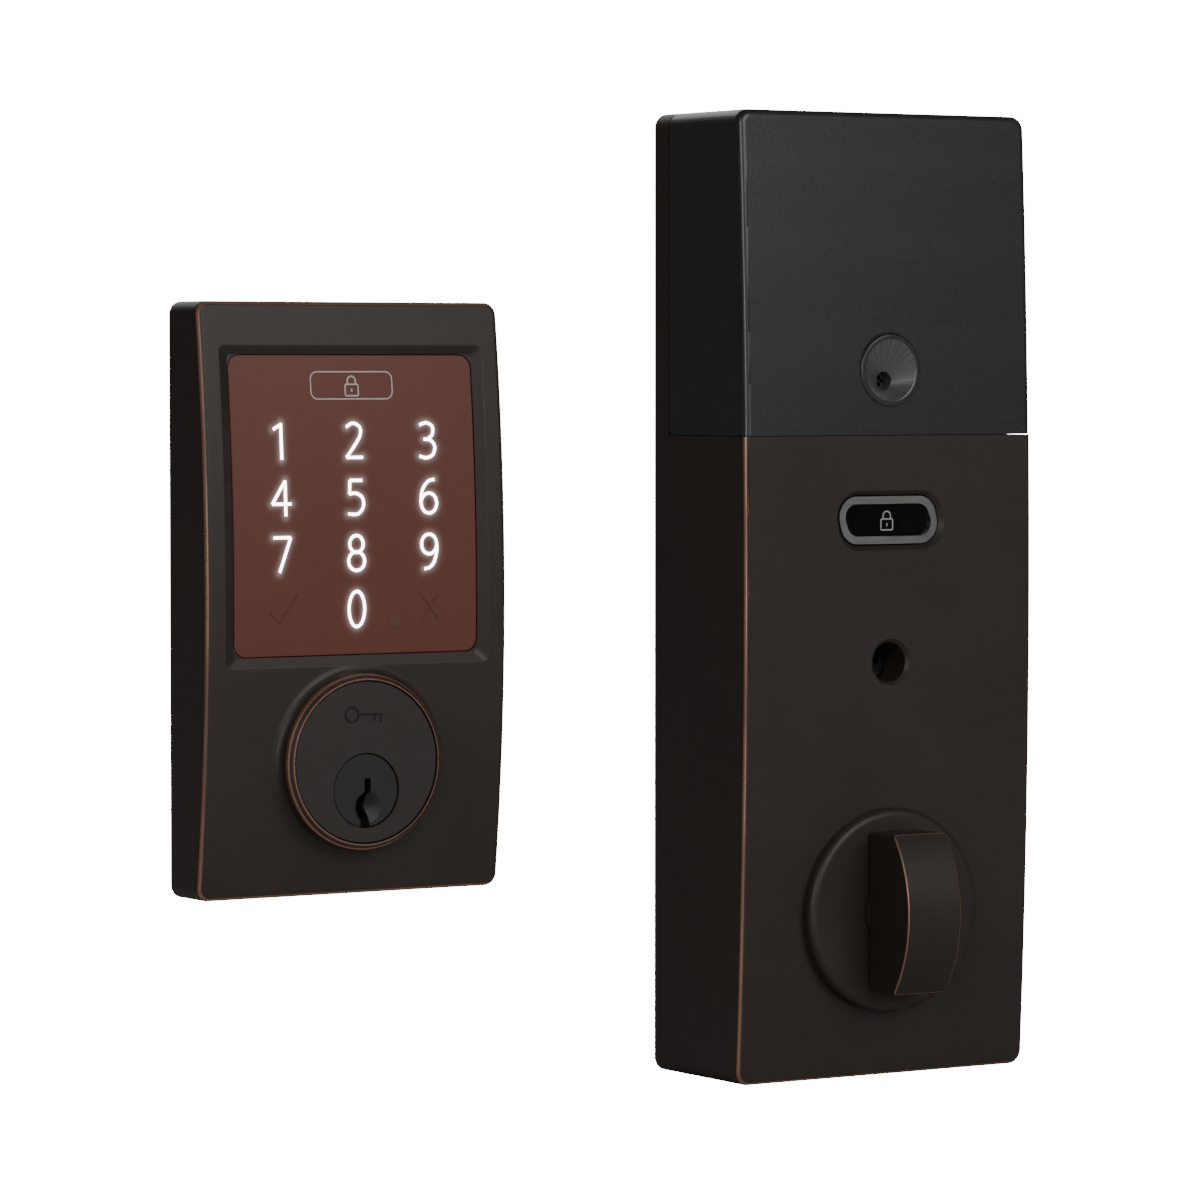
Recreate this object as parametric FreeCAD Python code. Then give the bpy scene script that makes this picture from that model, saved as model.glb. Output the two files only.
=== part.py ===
import FreeCAD, Part
import math
import os

from FreeCAD import Vector

os.makedirs("parts", exist_ok=True)

# Keypad smart lock for a hinged door. An outside unit carries the touch keypad and the key
# cylinder; an inside unit carries the thumbturn, the motor drive and the batteries.
# Millimetres. The origin is on the thumbturn's axis, in the plane of the door face. +Z is up.
# The two units stand side by side with their backs in the plane Y = 0 and their fronts to -Y.

# ---------------------------------------------------------------- driving dimensions

UNIT_SPACING = 125.0        # thumbturn axis to the outside unit's centre line

# Outside unit: body
EXT_W = 74.0
EXT_H = 127.0
EXT_BOTTOM = 8.0            # height of its lower edge above the thumbturn axis
EXT_DEPTH = 12.5            # depth at the upper and lower edges
EXT_BOW = 4.2               # how far the middle stands out beyond those edges
EXT_WALL = 2.2
EXT_CORNER_R = 2.8
EXT_RIM_R = 1.4
RIM_GAP = 0.4               # the rim stops this far short of the door

# Outside unit: window and screen
WINDOW_SIDE = 7.0           # window edge to the side of the body
WINDOW_TOP = 11.2           # window edge to the top of the body
WINDOW_ABOVE_RING = 22.7    # cylinder centre to the window's lower edge
WINDOW_CORNER_R = 3.0
BEVEL_W = 2.3
BEVEL_DEEP = 1.0
BEVEL_RIM_R = 0.6           # rounding between the sloping surround and the front
LENS_DEEP = 1.1             # lens front below the body's front
LENS_T = 2.3
LENS_GAP = 0.25
LENS_FLANGE = 2.0
LENS_FLANGE_T = 0.8
GUIDE_MIN_T = 0.75
GUIDE_SIDE = 2.0
BOARD_T = 1.2
BOARD_GAP = 0.1
BOARD_SIDE = 1.8

# Outside unit: back plate and fixings
PLATE_T = 1.4
GASKET_T = 1.6
PLATE_FIT = 0.3
CORNER_SCREW_X = 6.0        # from the side of the body
CORNER_SCREW_Z = 5.4        # from its upper and lower edges
CORNER_BOSS_R = 2.3
M2_R = 1.0
M2_HEAD_R = 1.9
M2_HEAD_H = 1.2
HOLE_CLEAR = 0.15

# Key cylinder
RING_HEIGHT = 28.8          # cylinder centre above the body's lower edge
RING_R = 18.8
RING_PROUD = 4.45
RING_CHAMFER = 1.05
RING_FILLET_R = 2.2
RING_BORE_R = 17.5
RING_TUBE_R = 20.0
RING_TUBE_END = 4.6         # the tube stops this far from the door
SHOULDER_R = 16.9
CYL_SET_BACK = 0.3          # cylinder face below the ring
CYL_FLANGE_R = 17.2
CYL_FLANGE_T = 5.1
CYL_SHANK_R = 13.6
CYL_LENGTH = 28.2
CYL_SHANK_GAP = 0.3
PLUG_DROP = 6.1             # plug axis below the cylinder's centre
PLUG_R = 6.35
PLUG_RUN = 0.05             # running clearance in its bore
PLUG_HEAD_R = 7.75
PLUG_HEAD_T = 3.0
PLUG_HEAD_GAP = 0.3
PLUG_STUB_R = 5.0
PLUG_STUB_L = 1.6
PIN_COUNT = 5
PIN_FIRST = 7.1             # cylinder face to the first pin chamber
PIN_PITCH = 3.96
PIN_R = 1.4
PIN_RUN = 0.05
KEY_PIN_FOOT = 1.2
SHEAR_GAP = 0.2             # pin ends to the plug's surface
DRIVER_L = 4.55
COVER_STRIP_T = 1.0
COVER_STRIP_W = 3.8
CAP_R = 7.4
CAP_GAP = 0.15
CAP_LENGTH = 4.45
CAP_CHAMBER_R = 5.1
CAP_EXIT_R = 4.2
TAIL_DISC_R = 4.8
TAIL_DISC_T = 1.4
TAIL_W = 7.2
TAIL_T = 2.4
TAIL_END = 48.0             # tip of the tailpiece behind the door face
DRIVE_PIN_R = 0.7
DRIVE_PIN_AT = 3.2
LOST_MOTION = 90.0          # free travel of the tailpiece in the plug, degrees
CYL_SCREW_AT = 15.6
CYL_SCREW_R = 1.15
CYL_SCREW_HEAD_R = 1.9

# Through-bolt posts
POST_SPACING = 38.0
POST_R = 3.5
POST_END = 12.0
POST_FLANGE_R = 5.0
POST_FLANGE_T = 1.2
POST_THREAD_R = 1.7

# Inside unit: body
INT_W = 78.0
INT_H = 215.0
INT_BELOW = 37.4            # lower edge below the thumbturn axis
INT_DEPTH = 33.6
INT_BOW = 3.0
INT_WALL = 2.4
INT_CORNER_R = 3.2
INT_RIM_R = 1.3
COVER_H = 71.8              # battery cover, from the top edge down to the split
COVER_GAP = 0.4
COVER_SEAM = 0.15           # visible gap between the cover and the body below it
COVER_RIM_R = 1.8
COVER_HEEL_R = 1.5
TRAY_DEPTH = 5.5            # body strip left behind the battery cover
TRAY_RIM_T = 2.0
TRAY_FLOOR_T = 2.0
SHELF_T = 2.4
SUPPORT_T = 2.0
SUPPORT_FIT = 0.6
SUPPORT_ABOVE_SPLIT = 44.2

# Battery cover lock screw
FUNNEL_ABOVE_SPLIT = 14.5
FUNNEL_R = 6.9
FUNNEL_DEEP = 3.0
FUNNEL_COLLAR_W = 1.0
FUNNEL_COLLAR_H = 0.6
FUNNEL_LIP_R = 0.4
FUNNEL_HOLE_DROP = 2.3
FUNNEL_HOLE_R = 2.05
SLEEVE_R = 3.4
COVER_SCREW_R = 1.15
COVER_SCREW_HEAD_R = 1.95
COVER_SCREW_HEAD_H = 1.6
COVER_SCREW_RUN = 0.05
LOCK_BOSS_L = 12.0

# Batteries
AA_R = 7.1
AA_BODY_L = 48.2
AA_NUB_L = 1.0
AA_NUB_R = 2.7
AA_PITCH = 15.0
AA_COUNT = 4
AA_AXIS_Y = -17.0
BAY_WALL = 0.9
BAY_ABOVE_SPLIT = 15.9
BAY_FRONT_Y = -25.0
BAY_SIDE_GAP = 0.3
SPRING_SPACE = 2.3

# Pairing button
BUTTON_BELOW_SPLIT = 18.8
BUTTON_W = 26.5
BUTTON_H = 10.6
BUTTON_SLANT = 1.3
BUTTON_CORNER_R = 4.6
BUTTON_RING_W = 1.7
BUTTON_SET_BACK = 0.95      # ring front below the body's front
FACE_SET_BACK = 0.7         # face below the ring
BUTTON_GAP = 0.35
BUTTON_BEVEL = 1.0
BUTTON_FLANGE = 1.0
BUTTON_FLANGE_T = 1.2
BUTTON_RING_T = 2.2
BUTTON_REST = 0.05          # play between the flange and its stop
BUTTON_TRAVEL = 0.8
BUTTON_STEM_R = 2.0

# Fixing screw deep in the body
ACCESS_BELOW_SPLIT = 50.5
ACCESS_R = 4.45
ACCESS_CHAMFER = 0.75
ACCESS_TUBE_R = 6.2
ACCESS_SEAT_Y = -26.0
SEAT_T = 2.0
FIX_SCREW_R = 1.6
FIX_HEAD_R = 4.0
FIX_HEAD_H = 2.2
FIX_BOSS_R = 5.0

# Thumbturn and its rose
ROSE_R = 22.8
ROSE_PROUD = 3.1            # rose front beyond the body's front, on the axis
ROSE_RIM_R = 1.7
ROSE_DISH = 0.45
ROSE_SPIGOT_R = 20.0
ROSE_SPIGOT_L = 4.1
ROSE_FIT = 0.1
TURN_W = 14.3
TURN_L = 35.6
TURN_GAP = 0.5              # rear of the bar to the rose
TURN_END_T = 9.0
TURN_MID_T = 14.8
TURN_CORNER_R = 1.0
TURN_EDGE_R = 0.45
STEM_R = 7.9
STEM_RUN = 0.08
STEM_END_Y = -31.0
HUB_R = 6.0
HUB_RUN = 0.06
HUB_SQUARE = 6.4
HUB_SQUARE_L = 3.6
HUB_SLOT_W = 3.0
HUB_SLOT_H = 8.6
HUB_SLOT_L = 20.0
HUB_BORE_R = 2.5
BUSHING_R = 9.0

# Motor drive
DRIVE_TEETH = 50
PINION_TEETH = 14
WHEEL_A_TEETH = 40
WHEEL_B_TEETH = 36
DRIVE_MODULE = 0.7
MID_MODULE = 0.6
MOTOR_MODULE = 0.5
PRESSURE_ANGLE = 20.0
FLANK_RELIEF = 0.04
A_BEARING = -38.3           # direction of each next axis, degrees from +Z towards +X
B_BEARING = 20.5
MOTOR_BEARING = -71.8
DRIVE_GEAR_Y = (-20.0, -16.0)
A_PINION_Y = (-21.5, -15.5)
A_WHEEL_Y = (-24.5, -21.5)
B_PINION_Y = (-26.0, -21.0)
B_WHEEL_Y = (-28.5, -26.0)
MOTOR_PINION_Y = (-29.0, -25.8)
AXLE_R = 1.0
AXLE_RUN = 0.05
MOTOR_R = 6.0
MOTOR_Y = (-25.2, -5.2)
MOTOR_SHAFT_R = 0.75
FRONT_PLATE_Y = (-31.0, -29.8)
REAR_PLATE_Y = (-14.6, -13.4)
GEARBOX_X = (-32.5, 7.5)
GEARBOX_Z = (14.0, 47.0)

# Control board
CONTROL_Y = (-16.0, -14.8)
CONTROL_BELOW_SPLIT = (43.8, 4.8)
CONTROL_HALF_W = 30.0

# ---------------------------------------------------------------- derived positions

XE = -UNIT_SPACING
EXT_TOP = EXT_BOTTOM + EXT_H
INT_BOTTOM = -INT_BELOW
INT_TOP = INT_BOTTOM + INT_H
SPLIT_Z = INT_TOP - COVER_H


def bow_circle(z0, z1, depth, bow):
    """Centre and radius, in the YZ plane, of the arc that a bowed front follows."""
    half = (z1 - z0) / 2
    radius = (half * half + bow * bow) / (2 * bow)
    return radius - depth - bow, (z0 + z1) / 2, radius


def bow_y(circle, z, inset=0.0):
    """Y of the bowed front at height z, moved back into the body by inset."""
    y_c, z_c, radius = circle
    return y_c - math.sqrt((radius - inset) ** 2 - (z - z_c) ** 2)


EXT_FRONT = bow_circle(EXT_BOTTOM, EXT_TOP, EXT_DEPTH, EXT_BOW)
INT_FRONT = bow_circle(INT_BOTTOM, INT_TOP, INT_DEPTH, INT_BOW)

RING_Z = EXT_BOTTOM + RING_HEIGHT
RING_FRONT_Y = bow_y(EXT_FRONT, RING_Z) - RING_PROUD
PLUG_Z = RING_Z - PLUG_DROP
CYL_FACE_Y = RING_FRONT_Y + CYL_SET_BACK
CYL_SHOULDER_Y = CYL_FACE_Y + CYL_FLANGE_T
CYL_REAR_Y = CYL_FACE_Y + CYL_LENGTH

WINDOW_X = (XE - EXT_W / 2 + WINDOW_SIDE, XE + EXT_W / 2 - WINDOW_SIDE)
WINDOW_Z = (RING_Z + WINDOW_ABOVE_RING, EXT_TOP - WINDOW_TOP)
LENS_BACK = LENS_DEEP + LENS_T
GUIDE_BACK_Y = bow_y(EXT_FRONT, WINDOW_Z[1], LENS_BACK) + GUIDE_MIN_T
BOARD_FRONT_Y = GUIDE_BACK_Y + BOARD_GAP
BOARD_BACK_Y = BOARD_FRONT_Y + BOARD_T
BOARD_HALF_W = EXT_W / 2 - EXT_WALL - BOARD_SIDE
PLATE_BACK_Y = -GASKET_T
PLATE_FRONT_Y = PLATE_BACK_Y - PLATE_T

COVER_BOTTOM_Z = SPLIT_Z + COVER_SEAM
COVER_BACK_Y = -TRAY_DEPTH - COVER_GAP
TRAY_FLOOR_Y = (-SUPPORT_T - TRAY_FLOOR_T, -SUPPORT_T)
FUNNEL_Z = SPLIT_Z + FUNNEL_ABOVE_SPLIT
LOCK_Z = FUNNEL_Z - FUNNEL_HOLE_DROP
LOCK_BOSS_Y = TRAY_FLOOR_Y[0] - LOCK_BOSS_L
SLEEVE_END_Y = LOCK_BOSS_Y - COVER_GAP
BUTTON_Z = SPLIT_Z - BUTTON_BELOW_SPLIT
BUTTON_FRONT_Y = bow_y(INT_FRONT, BUTTON_Z) + BUTTON_SET_BACK
RING_BACK_Y = BUTTON_FRONT_Y + BUTTON_RING_T
ACCESS_Z = SPLIT_Z - ACCESS_BELOW_SPLIT
ROSE_FRONT_Y = bow_y(INT_FRONT, 0.0) - ROSE_PROUD
TURN_REAR_Y = ROSE_FRONT_Y - TURN_GAP
CONTROL_Z = (SPLIT_Z - CONTROL_BELOW_SPLIT[0], SPLIT_Z - CONTROL_BELOW_SPLIT[1])
BAY_HALF_W = AA_COUNT * AA_PITCH / 2 + BAY_SIDE_GAP
BAY_Z = (SPLIT_Z + BAY_ABOVE_SPLIT,
         SPLIT_Z + BAY_ABOVE_SPLIT + 2 * BAY_WALL + AA_BODY_L + AA_NUB_L + SPRING_SPACE)


def step_from(centre, distance, bearing):
    """Point at a distance from centre, in a direction measured from +Z towards +X."""
    angle = math.radians(bearing)
    return centre[0] + distance * math.sin(angle), centre[1] + distance * math.cos(angle)


AXIS_A = step_from((0.0, 0.0), DRIVE_MODULE * (DRIVE_TEETH + PINION_TEETH) / 2, A_BEARING)
AXIS_B = step_from(AXIS_A, MID_MODULE * (WHEEL_A_TEETH + PINION_TEETH) / 2, B_BEARING)
AXIS_MOTOR = step_from(AXIS_B, MOTOR_MODULE * (WHEEL_B_TEETH + PINION_TEETH) / 2, MOTOR_BEARING)

# ---------------------------------------------------------------- shapes used throughout


def box(x, y, z):
    """Block from three (low, high) pairs."""
    return Part.makeBox(x[1] - x[0], y[1] - y[0], z[1] - z[0], Vector(x[0], y[0], z[0]))


def rod(x, z, radius, y):
    """Round bar along Y, y being its (low, high) pair."""
    return Part.makeCylinder(radius, y[1] - y[0], Vector(x, y[0], z), Vector(0, 1, 0))


def tube(x, z, outer, inner, y):
    return rod(x, z, outer, y).cut(rod(x, z, inner, y))


def taper(x, z, radii, y):
    """Cone along Y with one radius at each end."""
    return Part.makeCone(radii[0], radii[1], y[1] - y[0], Vector(x, y[0], z), Vector(0, 1, 0))


def upright(x, y, radius, z):
    """Round bar along Z."""
    return Part.makeCylinder(radius, z[1] - z[0], Vector(x, y, z[0]))


def joined(shapes):
    """One solid from pieces that touch or overlap."""
    whole = shapes[0].multiFuse(shapes[1:]) if len(shapes) > 1 else shapes[0]
    return whole.removeSplitter()


def grown(pair, amount):
    return pair[0] - amount, pair[1] + amount


def edges_along_y(shape):
    """Straight edges that run front to back."""
    picked = []
    for edge in shape.Edges:
        start = edge.valueAt(edge.FirstParameter)
        end = edge.valueAt(edge.LastParameter)
        if abs(start.x - end.x) + abs(start.z - end.z) < 1e-4 < abs(start.y - end.y):
            picked.append(edge)
    return picked


def rounded_plate(x, y, z, radius):
    plate = box(x, y, z)
    return plate.makeFillet(radius, edges_along_y(plate))


def rounded_prism(points, radius, y):
    """Prism along Y from an XZ outline whose corners are rounded."""
    edges = []
    count = len(points)
    ends = []
    for i in range(count):
        corner = Vector(points[i][0], y[0], points[i][1])
        before = Vector(points[i - 1][0], y[0], points[i - 1][1]) - corner
        after = Vector(points[(i + 1) % count][0], y[0], points[(i + 1) % count][1]) - corner
        before.normalize()
        after.normalize()
        half = before.getAngle(after) / 2
        reach = radius / math.tan(half)
        inward = before + after
        inward.normalize()
        middle = corner + inward * (radius / math.sin(half) - radius)
        ends.append((corner + before * reach, middle, corner + after * reach))
    for i in range(count):
        start, middle, end = ends[i]
        edges.append(Part.Arc(start, middle, end).toShape())
        edges.append(Part.makeLine(end, ends[(i + 1) % count][0]))
    return Part.Face(Part.Wire(edges)).extrude(Vector(0, y[1] - y[0], 0))


def bowed_block(circle, inset, x, z, back_y):
    """Block with a flat back and a front that follows the bow, moved back by inset."""
    middle_z = (z[0] + z[1]) / 2
    low = Vector(x[0], bow_y(circle, z[0], inset), z[0])
    middle = Vector(x[0], bow_y(circle, middle_z, inset), middle_z)
    high = Vector(x[0], bow_y(circle, z[1], inset), z[1])
    back_low = Vector(x[0], back_y, z[0])
    back_high = Vector(x[0], back_y, z[1])
    outline = Part.Wire([
        Part.makeLine(back_low, low),
        Part.Arc(low, middle, high).toShape(),
        Part.makeLine(high, back_high),
        Part.makeLine(back_high, back_low)])
    return Part.Face(outline).extrude(Vector(x[1] - x[0], 0, 0))


def bowed_sheet(circle, depths, x, z, radius):
    """Sheet that follows the bow between two depths below the front, with round corners."""
    front = bowed_block(circle, depths[0], x, z, 0.0)
    front = front.makeFillet(radius, edges_along_y(front))
    return front.cut(bowed_block(circle, depths[1], grown(x, 1.0), grown(z, 1.0), 1.0))


def bowed_body(circle, x, z, back_y, corner_r, rim_r):
    """Outer form of a case: bowed front, round corners, soft rim round the front."""
    body = bowed_block(circle, 0.0, x, z, back_y)
    body = body.makeFillet(corner_r, edges_along_y(body))
    rim = []
    for face in body.Faces:
        if isinstance(face.Surface, Part.Cylinder) and abs(face.Surface.Radius - circle[2]) < 0.01:
            rim += face.OuterWire.Edges
    return body.makeFillet(rim_r, rim)


def coil_spring(x, y, z, coil_r, wire_r, turns, height):
    """Wire spring standing along +Z from the given point."""
    pitch = (height - 2 * wire_r) / turns
    path = Part.makeLongHelix(pitch, pitch * turns, coil_r)
    across = Part.Circle(Vector(coil_r, 0, 0), Vector(0, 1, 0), wire_r).toShape()
    wire = Part.Wire(path).makePipeShell([Part.Wire(across)], True, True)
    wire.translate(Vector(x, y, z + wire_r))
    return wire


def export(name, shapes):
    """Writes one sub-part; a list is a group of like pieces that share the node."""
    shape = Part.makeCompound(shapes) if isinstance(shapes, list) else shapes
    shape.exportStep("parts/" + name + ".step")
    print(name, "solids", len(shape.Solids), "valid", shape.isValid(), "volume", round(shape.Volume, 2))

# ---------------------------------------------------------------- outside unit

EXT_X = (XE - EXT_W / 2, XE + EXT_W / 2)
EXT_Z = (EXT_BOTTOM, EXT_TOP)
EXT_CAVITY_X = grown(EXT_X, -EXT_WALL)
EXT_CAVITY_Z = grown(EXT_Z, -EXT_WALL)
CORNER_SCREWS = [
    (XE + side * (EXT_W / 2 - CORNER_SCREW_X), z)
    for side in (-1, 1)
    for z in (EXT_BOTTOM + CORNER_SCREW_Z, EXT_TOP - CORNER_SCREW_Z)]
POSTS = [(XE + side * POST_SPACING / 2, PLUG_Z) for side in (-1, 1)]
CYL_SCREWS = [(XE + side * CYL_SCREW_AT, RING_Z) for side in (-1, 1)]
HEADER_HALF_W = 5.0
HEADER_Z = (WINDOW_Z[0] + 9.0, WINDOW_Z[0] + 15.0)
BOARD_POSTS = [
    (XE + side * (BOARD_HALF_W - 3.5), z)
    for side in (-1, 1)
    for z in (WINDOW_Z[0] + 3.0, WINDOW_Z[1] - 3.0)]
BOARD_POST_R = 2.0


def window_bevel():
    """Sloping surround of the window, following the bow."""
    y_c, z_c, radius = EXT_FRONT
    slope = BEVEL_W / BEVEL_DEEP
    over = 0.5
    wide = BEVEL_W + over * slope
    x0, x1 = WINDOW_X
    floor = y_c - radius + BEVEL_DEEP
    top = y_c - radius - over
    section = Part.makePolygon([
        Vector(x0, floor, z_c), Vector(x1, floor, z_c),
        Vector(x1 + wide, top, z_c), Vector(x0 - wide, top, z_c), Vector(x0, floor, z_c)])
    ring = Part.Face(section)
    swing = 12.0
    ring.rotate(Vector(0, y_c, z_c), Vector(1, 0, 0), -swing)
    sides = ring.revolve(Vector(0, y_c, z_c), Vector(1, 0, 0), 2 * swing)
    low = Vector(x0 - 9.0, bow_y(EXT_FRONT, WINDOW_Z[0], BEVEL_DEEP + 1.0), WINDOW_Z[0])
    high = Vector(x0 - 9.0, bow_y(EXT_FRONT, WINDOW_Z[1], BEVEL_DEEP + 1.0), WINDOW_Z[1])
    low_floor = low + Vector(0, -1.0, 0)
    high_floor = high + Vector(0, -1.0, 0)
    reach = 3.0
    ends = Part.makePolygon([
        low, low_floor, low_floor + Vector(0, -reach, -reach * slope),
        high_floor + Vector(0, -reach, reach * slope), high_floor, high, low])
    tool = sides.common(Part.Face(ends).extrude(Vector(x1 - x0 + 18.0, 0, 0)))
    corners = []
    for edge in tool.Edges:
        depths = [math.hypot(v.Point.y - y_c, v.Point.z - z_c) for v in edge.Vertexes]
        if len(depths) == 2 and abs(depths[0] - depths[1]) > over:
            corners.append(edge)
    return tool.makeFillet(WINDOW_CORNER_R, corners)


def bevel_rim(shell):
    """Edges where the window's sloping surround meets the bowed front."""
    y_c, z_c, radius = EXT_FRONT
    reach_x = grown(WINDOW_X, BEVEL_W + 1.0)
    reach_z = grown(WINDOW_Z, BEVEL_W + 1.0)
    rim = []
    for edge in shell.Edges:
        middle = edge.valueAt((edge.FirstParameter + edge.LastParameter) / 2)
        on_front = abs(math.hypot(middle.y - y_c, middle.z - z_c) - radius) < 0.01
        near = reach_x[0] < middle.x < reach_x[1] and reach_z[0] < middle.z < reach_z[1]
        if on_front and near:
            rim.append(edge)
    return rim


def window_hole(gap, y):
    """Prism of the window's outline, larger all round by gap."""
    return rounded_plate(grown(WINDOW_X, gap), y, grown(WINDOW_Z, gap), WINDOW_CORNER_R + gap)


def keypad_escutcheon():
    body = bowed_body(EXT_FRONT, EXT_X, EXT_Z, -RIM_GAP, EXT_CORNER_R, EXT_RIM_R)
    chamfer_y = RING_FRONT_Y + RING_CHAMFER
    ring = rod(XE, RING_Z, RING_R, (chamfer_y, -EXT_DEPTH / 2))
    body = body.fuse(ring).removeSplitter()
    foot = []
    for edge in body.Edges:
        points = [edge.valueAt(edge.FirstParameter + share * (edge.LastParameter - edge.FirstParameter))
                  for share in (0.1, 0.5, 0.9)]
        on_ring = all(abs(math.hypot(p.x - XE, p.z - RING_Z) - RING_R) < 0.01 for p in points)
        if on_ring and points[1].y > chamfer_y + 0.5:
            foot.append(edge)
    body = body.makeFillet(RING_FILLET_R, foot)
    lip = taper(XE, RING_Z, (RING_R - RING_CHAMFER, RING_R), (RING_FRONT_Y, chamfer_y))
    cavity = bowed_block(EXT_FRONT, EXT_WALL, EXT_CAVITY_X, EXT_CAVITY_Z, 1.0)
    cavity = cavity.makeFillet(EXT_CORNER_R - EXT_WALL + 0.4, edges_along_y(cavity))
    shell = body.cut(cavity)
    inner = rod(XE, RING_Z, RING_TUBE_R, (-EXT_DEPTH, -RING_TUBE_END))
    bosses = [rod(x, z, CORNER_BOSS_R, (-EXT_DEPTH + EXT_WALL - 0.5, PLATE_FRONT_Y))
              for x, z in CORNER_SCREWS]
    shell = joined([shell, lip, inner] + bosses)
    shell = shell.cut(rod(XE, RING_Z, RING_BORE_R, (RING_FRONT_Y - 1.0, CYL_SHOULDER_Y)))
    shell = shell.cut(rod(XE, RING_Z, SHOULDER_R, (CYL_SHOULDER_Y - 1.0, 0.0)))
    for x, z in CORNER_SCREWS:
        shell = shell.cut(rod(x, z, M2_R, (PLATE_FRONT_Y - 5.0, PLATE_FRONT_Y + 1.0)))
    shell = shell.cut(window_bevel())
    shell = shell.makeFillet(BEVEL_RIM_R, bevel_rim(shell))
    return shell.cut(window_hole(0.0, (-EXT_DEPTH - EXT_BOW - 2.0, -5.0)))


def touchscreen_lens():
    pane = bowed_sheet(EXT_FRONT, (LENS_DEEP, LENS_BACK), grown(WINDOW_X, -LENS_GAP),
                       grown(WINDOW_Z, -LENS_GAP), WINDOW_CORNER_R - LENS_GAP)
    flange = bowed_sheet(EXT_FRONT, (LENS_BACK - LENS_FLANGE_T, LENS_BACK),
                         grown(WINDOW_X, LENS_FLANGE), grown(WINDOW_Z, LENS_FLANGE),
                         WINDOW_CORNER_R + LENS_FLANGE)
    return joined([pane, flange])


def lens_seal():
    """Flat foam ring pinched between the lens flange and the wall."""
    sheet = bowed_sheet(EXT_FRONT, (EXT_WALL, LENS_BACK - LENS_FLANGE_T),
                        grown(WINDOW_X, LENS_FLANGE), grown(WINDOW_Z, LENS_FLANGE),
                        WINDOW_CORNER_R + LENS_FLANGE)
    return sheet.cut(window_hole(LENS_GAP, (-EXT_DEPTH - EXT_BOW - 2.0, 0.0)))


def light_guide():
    x = grown(WINDOW_X, -GUIDE_SIDE)
    guide = bowed_block(EXT_FRONT, LENS_BACK, x, grown(WINDOW_Z, -1.0), GUIDE_BACK_Y)
    return guide.makeFillet(1.5, edges_along_y(guide))


def touch_board():
    z = (WINDOW_Z[0] - 1.0, WINDOW_Z[1] + 2.2)
    board = rounded_plate((XE - BOARD_HALF_W, XE + BOARD_HALF_W), (BOARD_FRONT_Y, BOARD_BACK_Y), z, 1.5)
    for x, post_z in BOARD_POSTS:
        board = board.cut(rod(x, post_z, M2_R, (BOARD_FRONT_Y - 1.0, BOARD_BACK_Y + 1.0)))
    return board


def touch_board_chips():
    """Touch controller, two memory chips and two rows of small parts on the board's back."""
    chips = []
    for x, z, width, height in ((-12.0, 42.0, 9.0, 9.0), (2.0, 43.0, 6.0, 5.0), (-12.0, 28.0, 5.0, 4.0)):
        chips.append(box((XE + x, XE + x + width), (BOARD_BACK_Y, BOARD_BACK_Y + 1.1),
                         (WINDOW_Z[0] + z, WINDOW_Z[0] + z + height)))
    for row in range(2):
        for column in range(6):
            x = XE - 22.0 + 3.0 * column
            z = WINDOW_Z[0] + 20.0 + 3.0 * row
            chips.append(box((x, x + 1.6), (BOARD_BACK_Y, BOARD_BACK_Y + 0.8), (z, z + 0.8)))
    return chips


def backlight_leds():
    """Side-firing lamps along both edges of the light guide."""
    lamps = []
    for side in (-1, 1):
        edge = XE + side * (EXT_W / 2 - WINDOW_SIDE - GUIDE_SIDE + 0.1)
        x = (min(edge, edge + side * 1.2), max(edge, edge + side * 1.2))
        for i in range(5):
            z = WINDOW_Z[0] + 8.0 + i * (WINDOW_Z[1] - WINDOW_Z[0] - 20.0) / 4
            lamps.append(box(x, (BOARD_FRONT_Y - 0.8, BOARD_FRONT_Y), (z, z + 2.4)))
    return lamps


def keypad_beeper():
    x, z = XE + 21.0, WINDOW_Z[1] - 14.0
    can = rod(x, z, 4.5, (BOARD_BACK_Y, BOARD_BACK_Y + 2.9))
    return can.cut(rod(x, z, 0.8, (BOARD_BACK_Y + 2.0, BOARD_BACK_Y + 4.0)))


def cable_header():
    """Socket for the cable through the door; it shows in the back plate's opening."""
    y = (BOARD_BACK_Y, PLATE_FRONT_Y + 0.2)
    x = (XE - HEADER_HALF_W, XE + HEADER_HALF_W)
    socket = box(x, y, HEADER_Z)
    socket = socket.cut(box(grown(x, -0.8), (y[0] + 1.0, y[1] + 1.0), grown(HEADER_Z, -0.8)))
    pins = [box((XE - 3.0 + 1.5 * i, XE - 2.5 + 1.5 * i), (y[0] + 0.9, y[1] - 1.0),
                (HEADER_Z[0] + 2.7, HEADER_Z[0] + 3.2)) for i in range(5)]
    return joined([socket] + pins)


def plate_openings(y, grow):
    """Everything that passes through the back plate or the gasket."""
    cutters = [rod(XE, RING_Z, CYL_SHANK_R + CYL_SHANK_GAP + grow, y)]
    cutters += [rod(x, z, POST_R + HOLE_CLEAR + grow, y) for x, z in POSTS]
    cutters.append(box(grown((XE - HEADER_HALF_W, XE + HEADER_HALF_W), 0.6 + grow), y,
                       grown(HEADER_Z, 0.6 + grow)))
    return cutters


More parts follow.
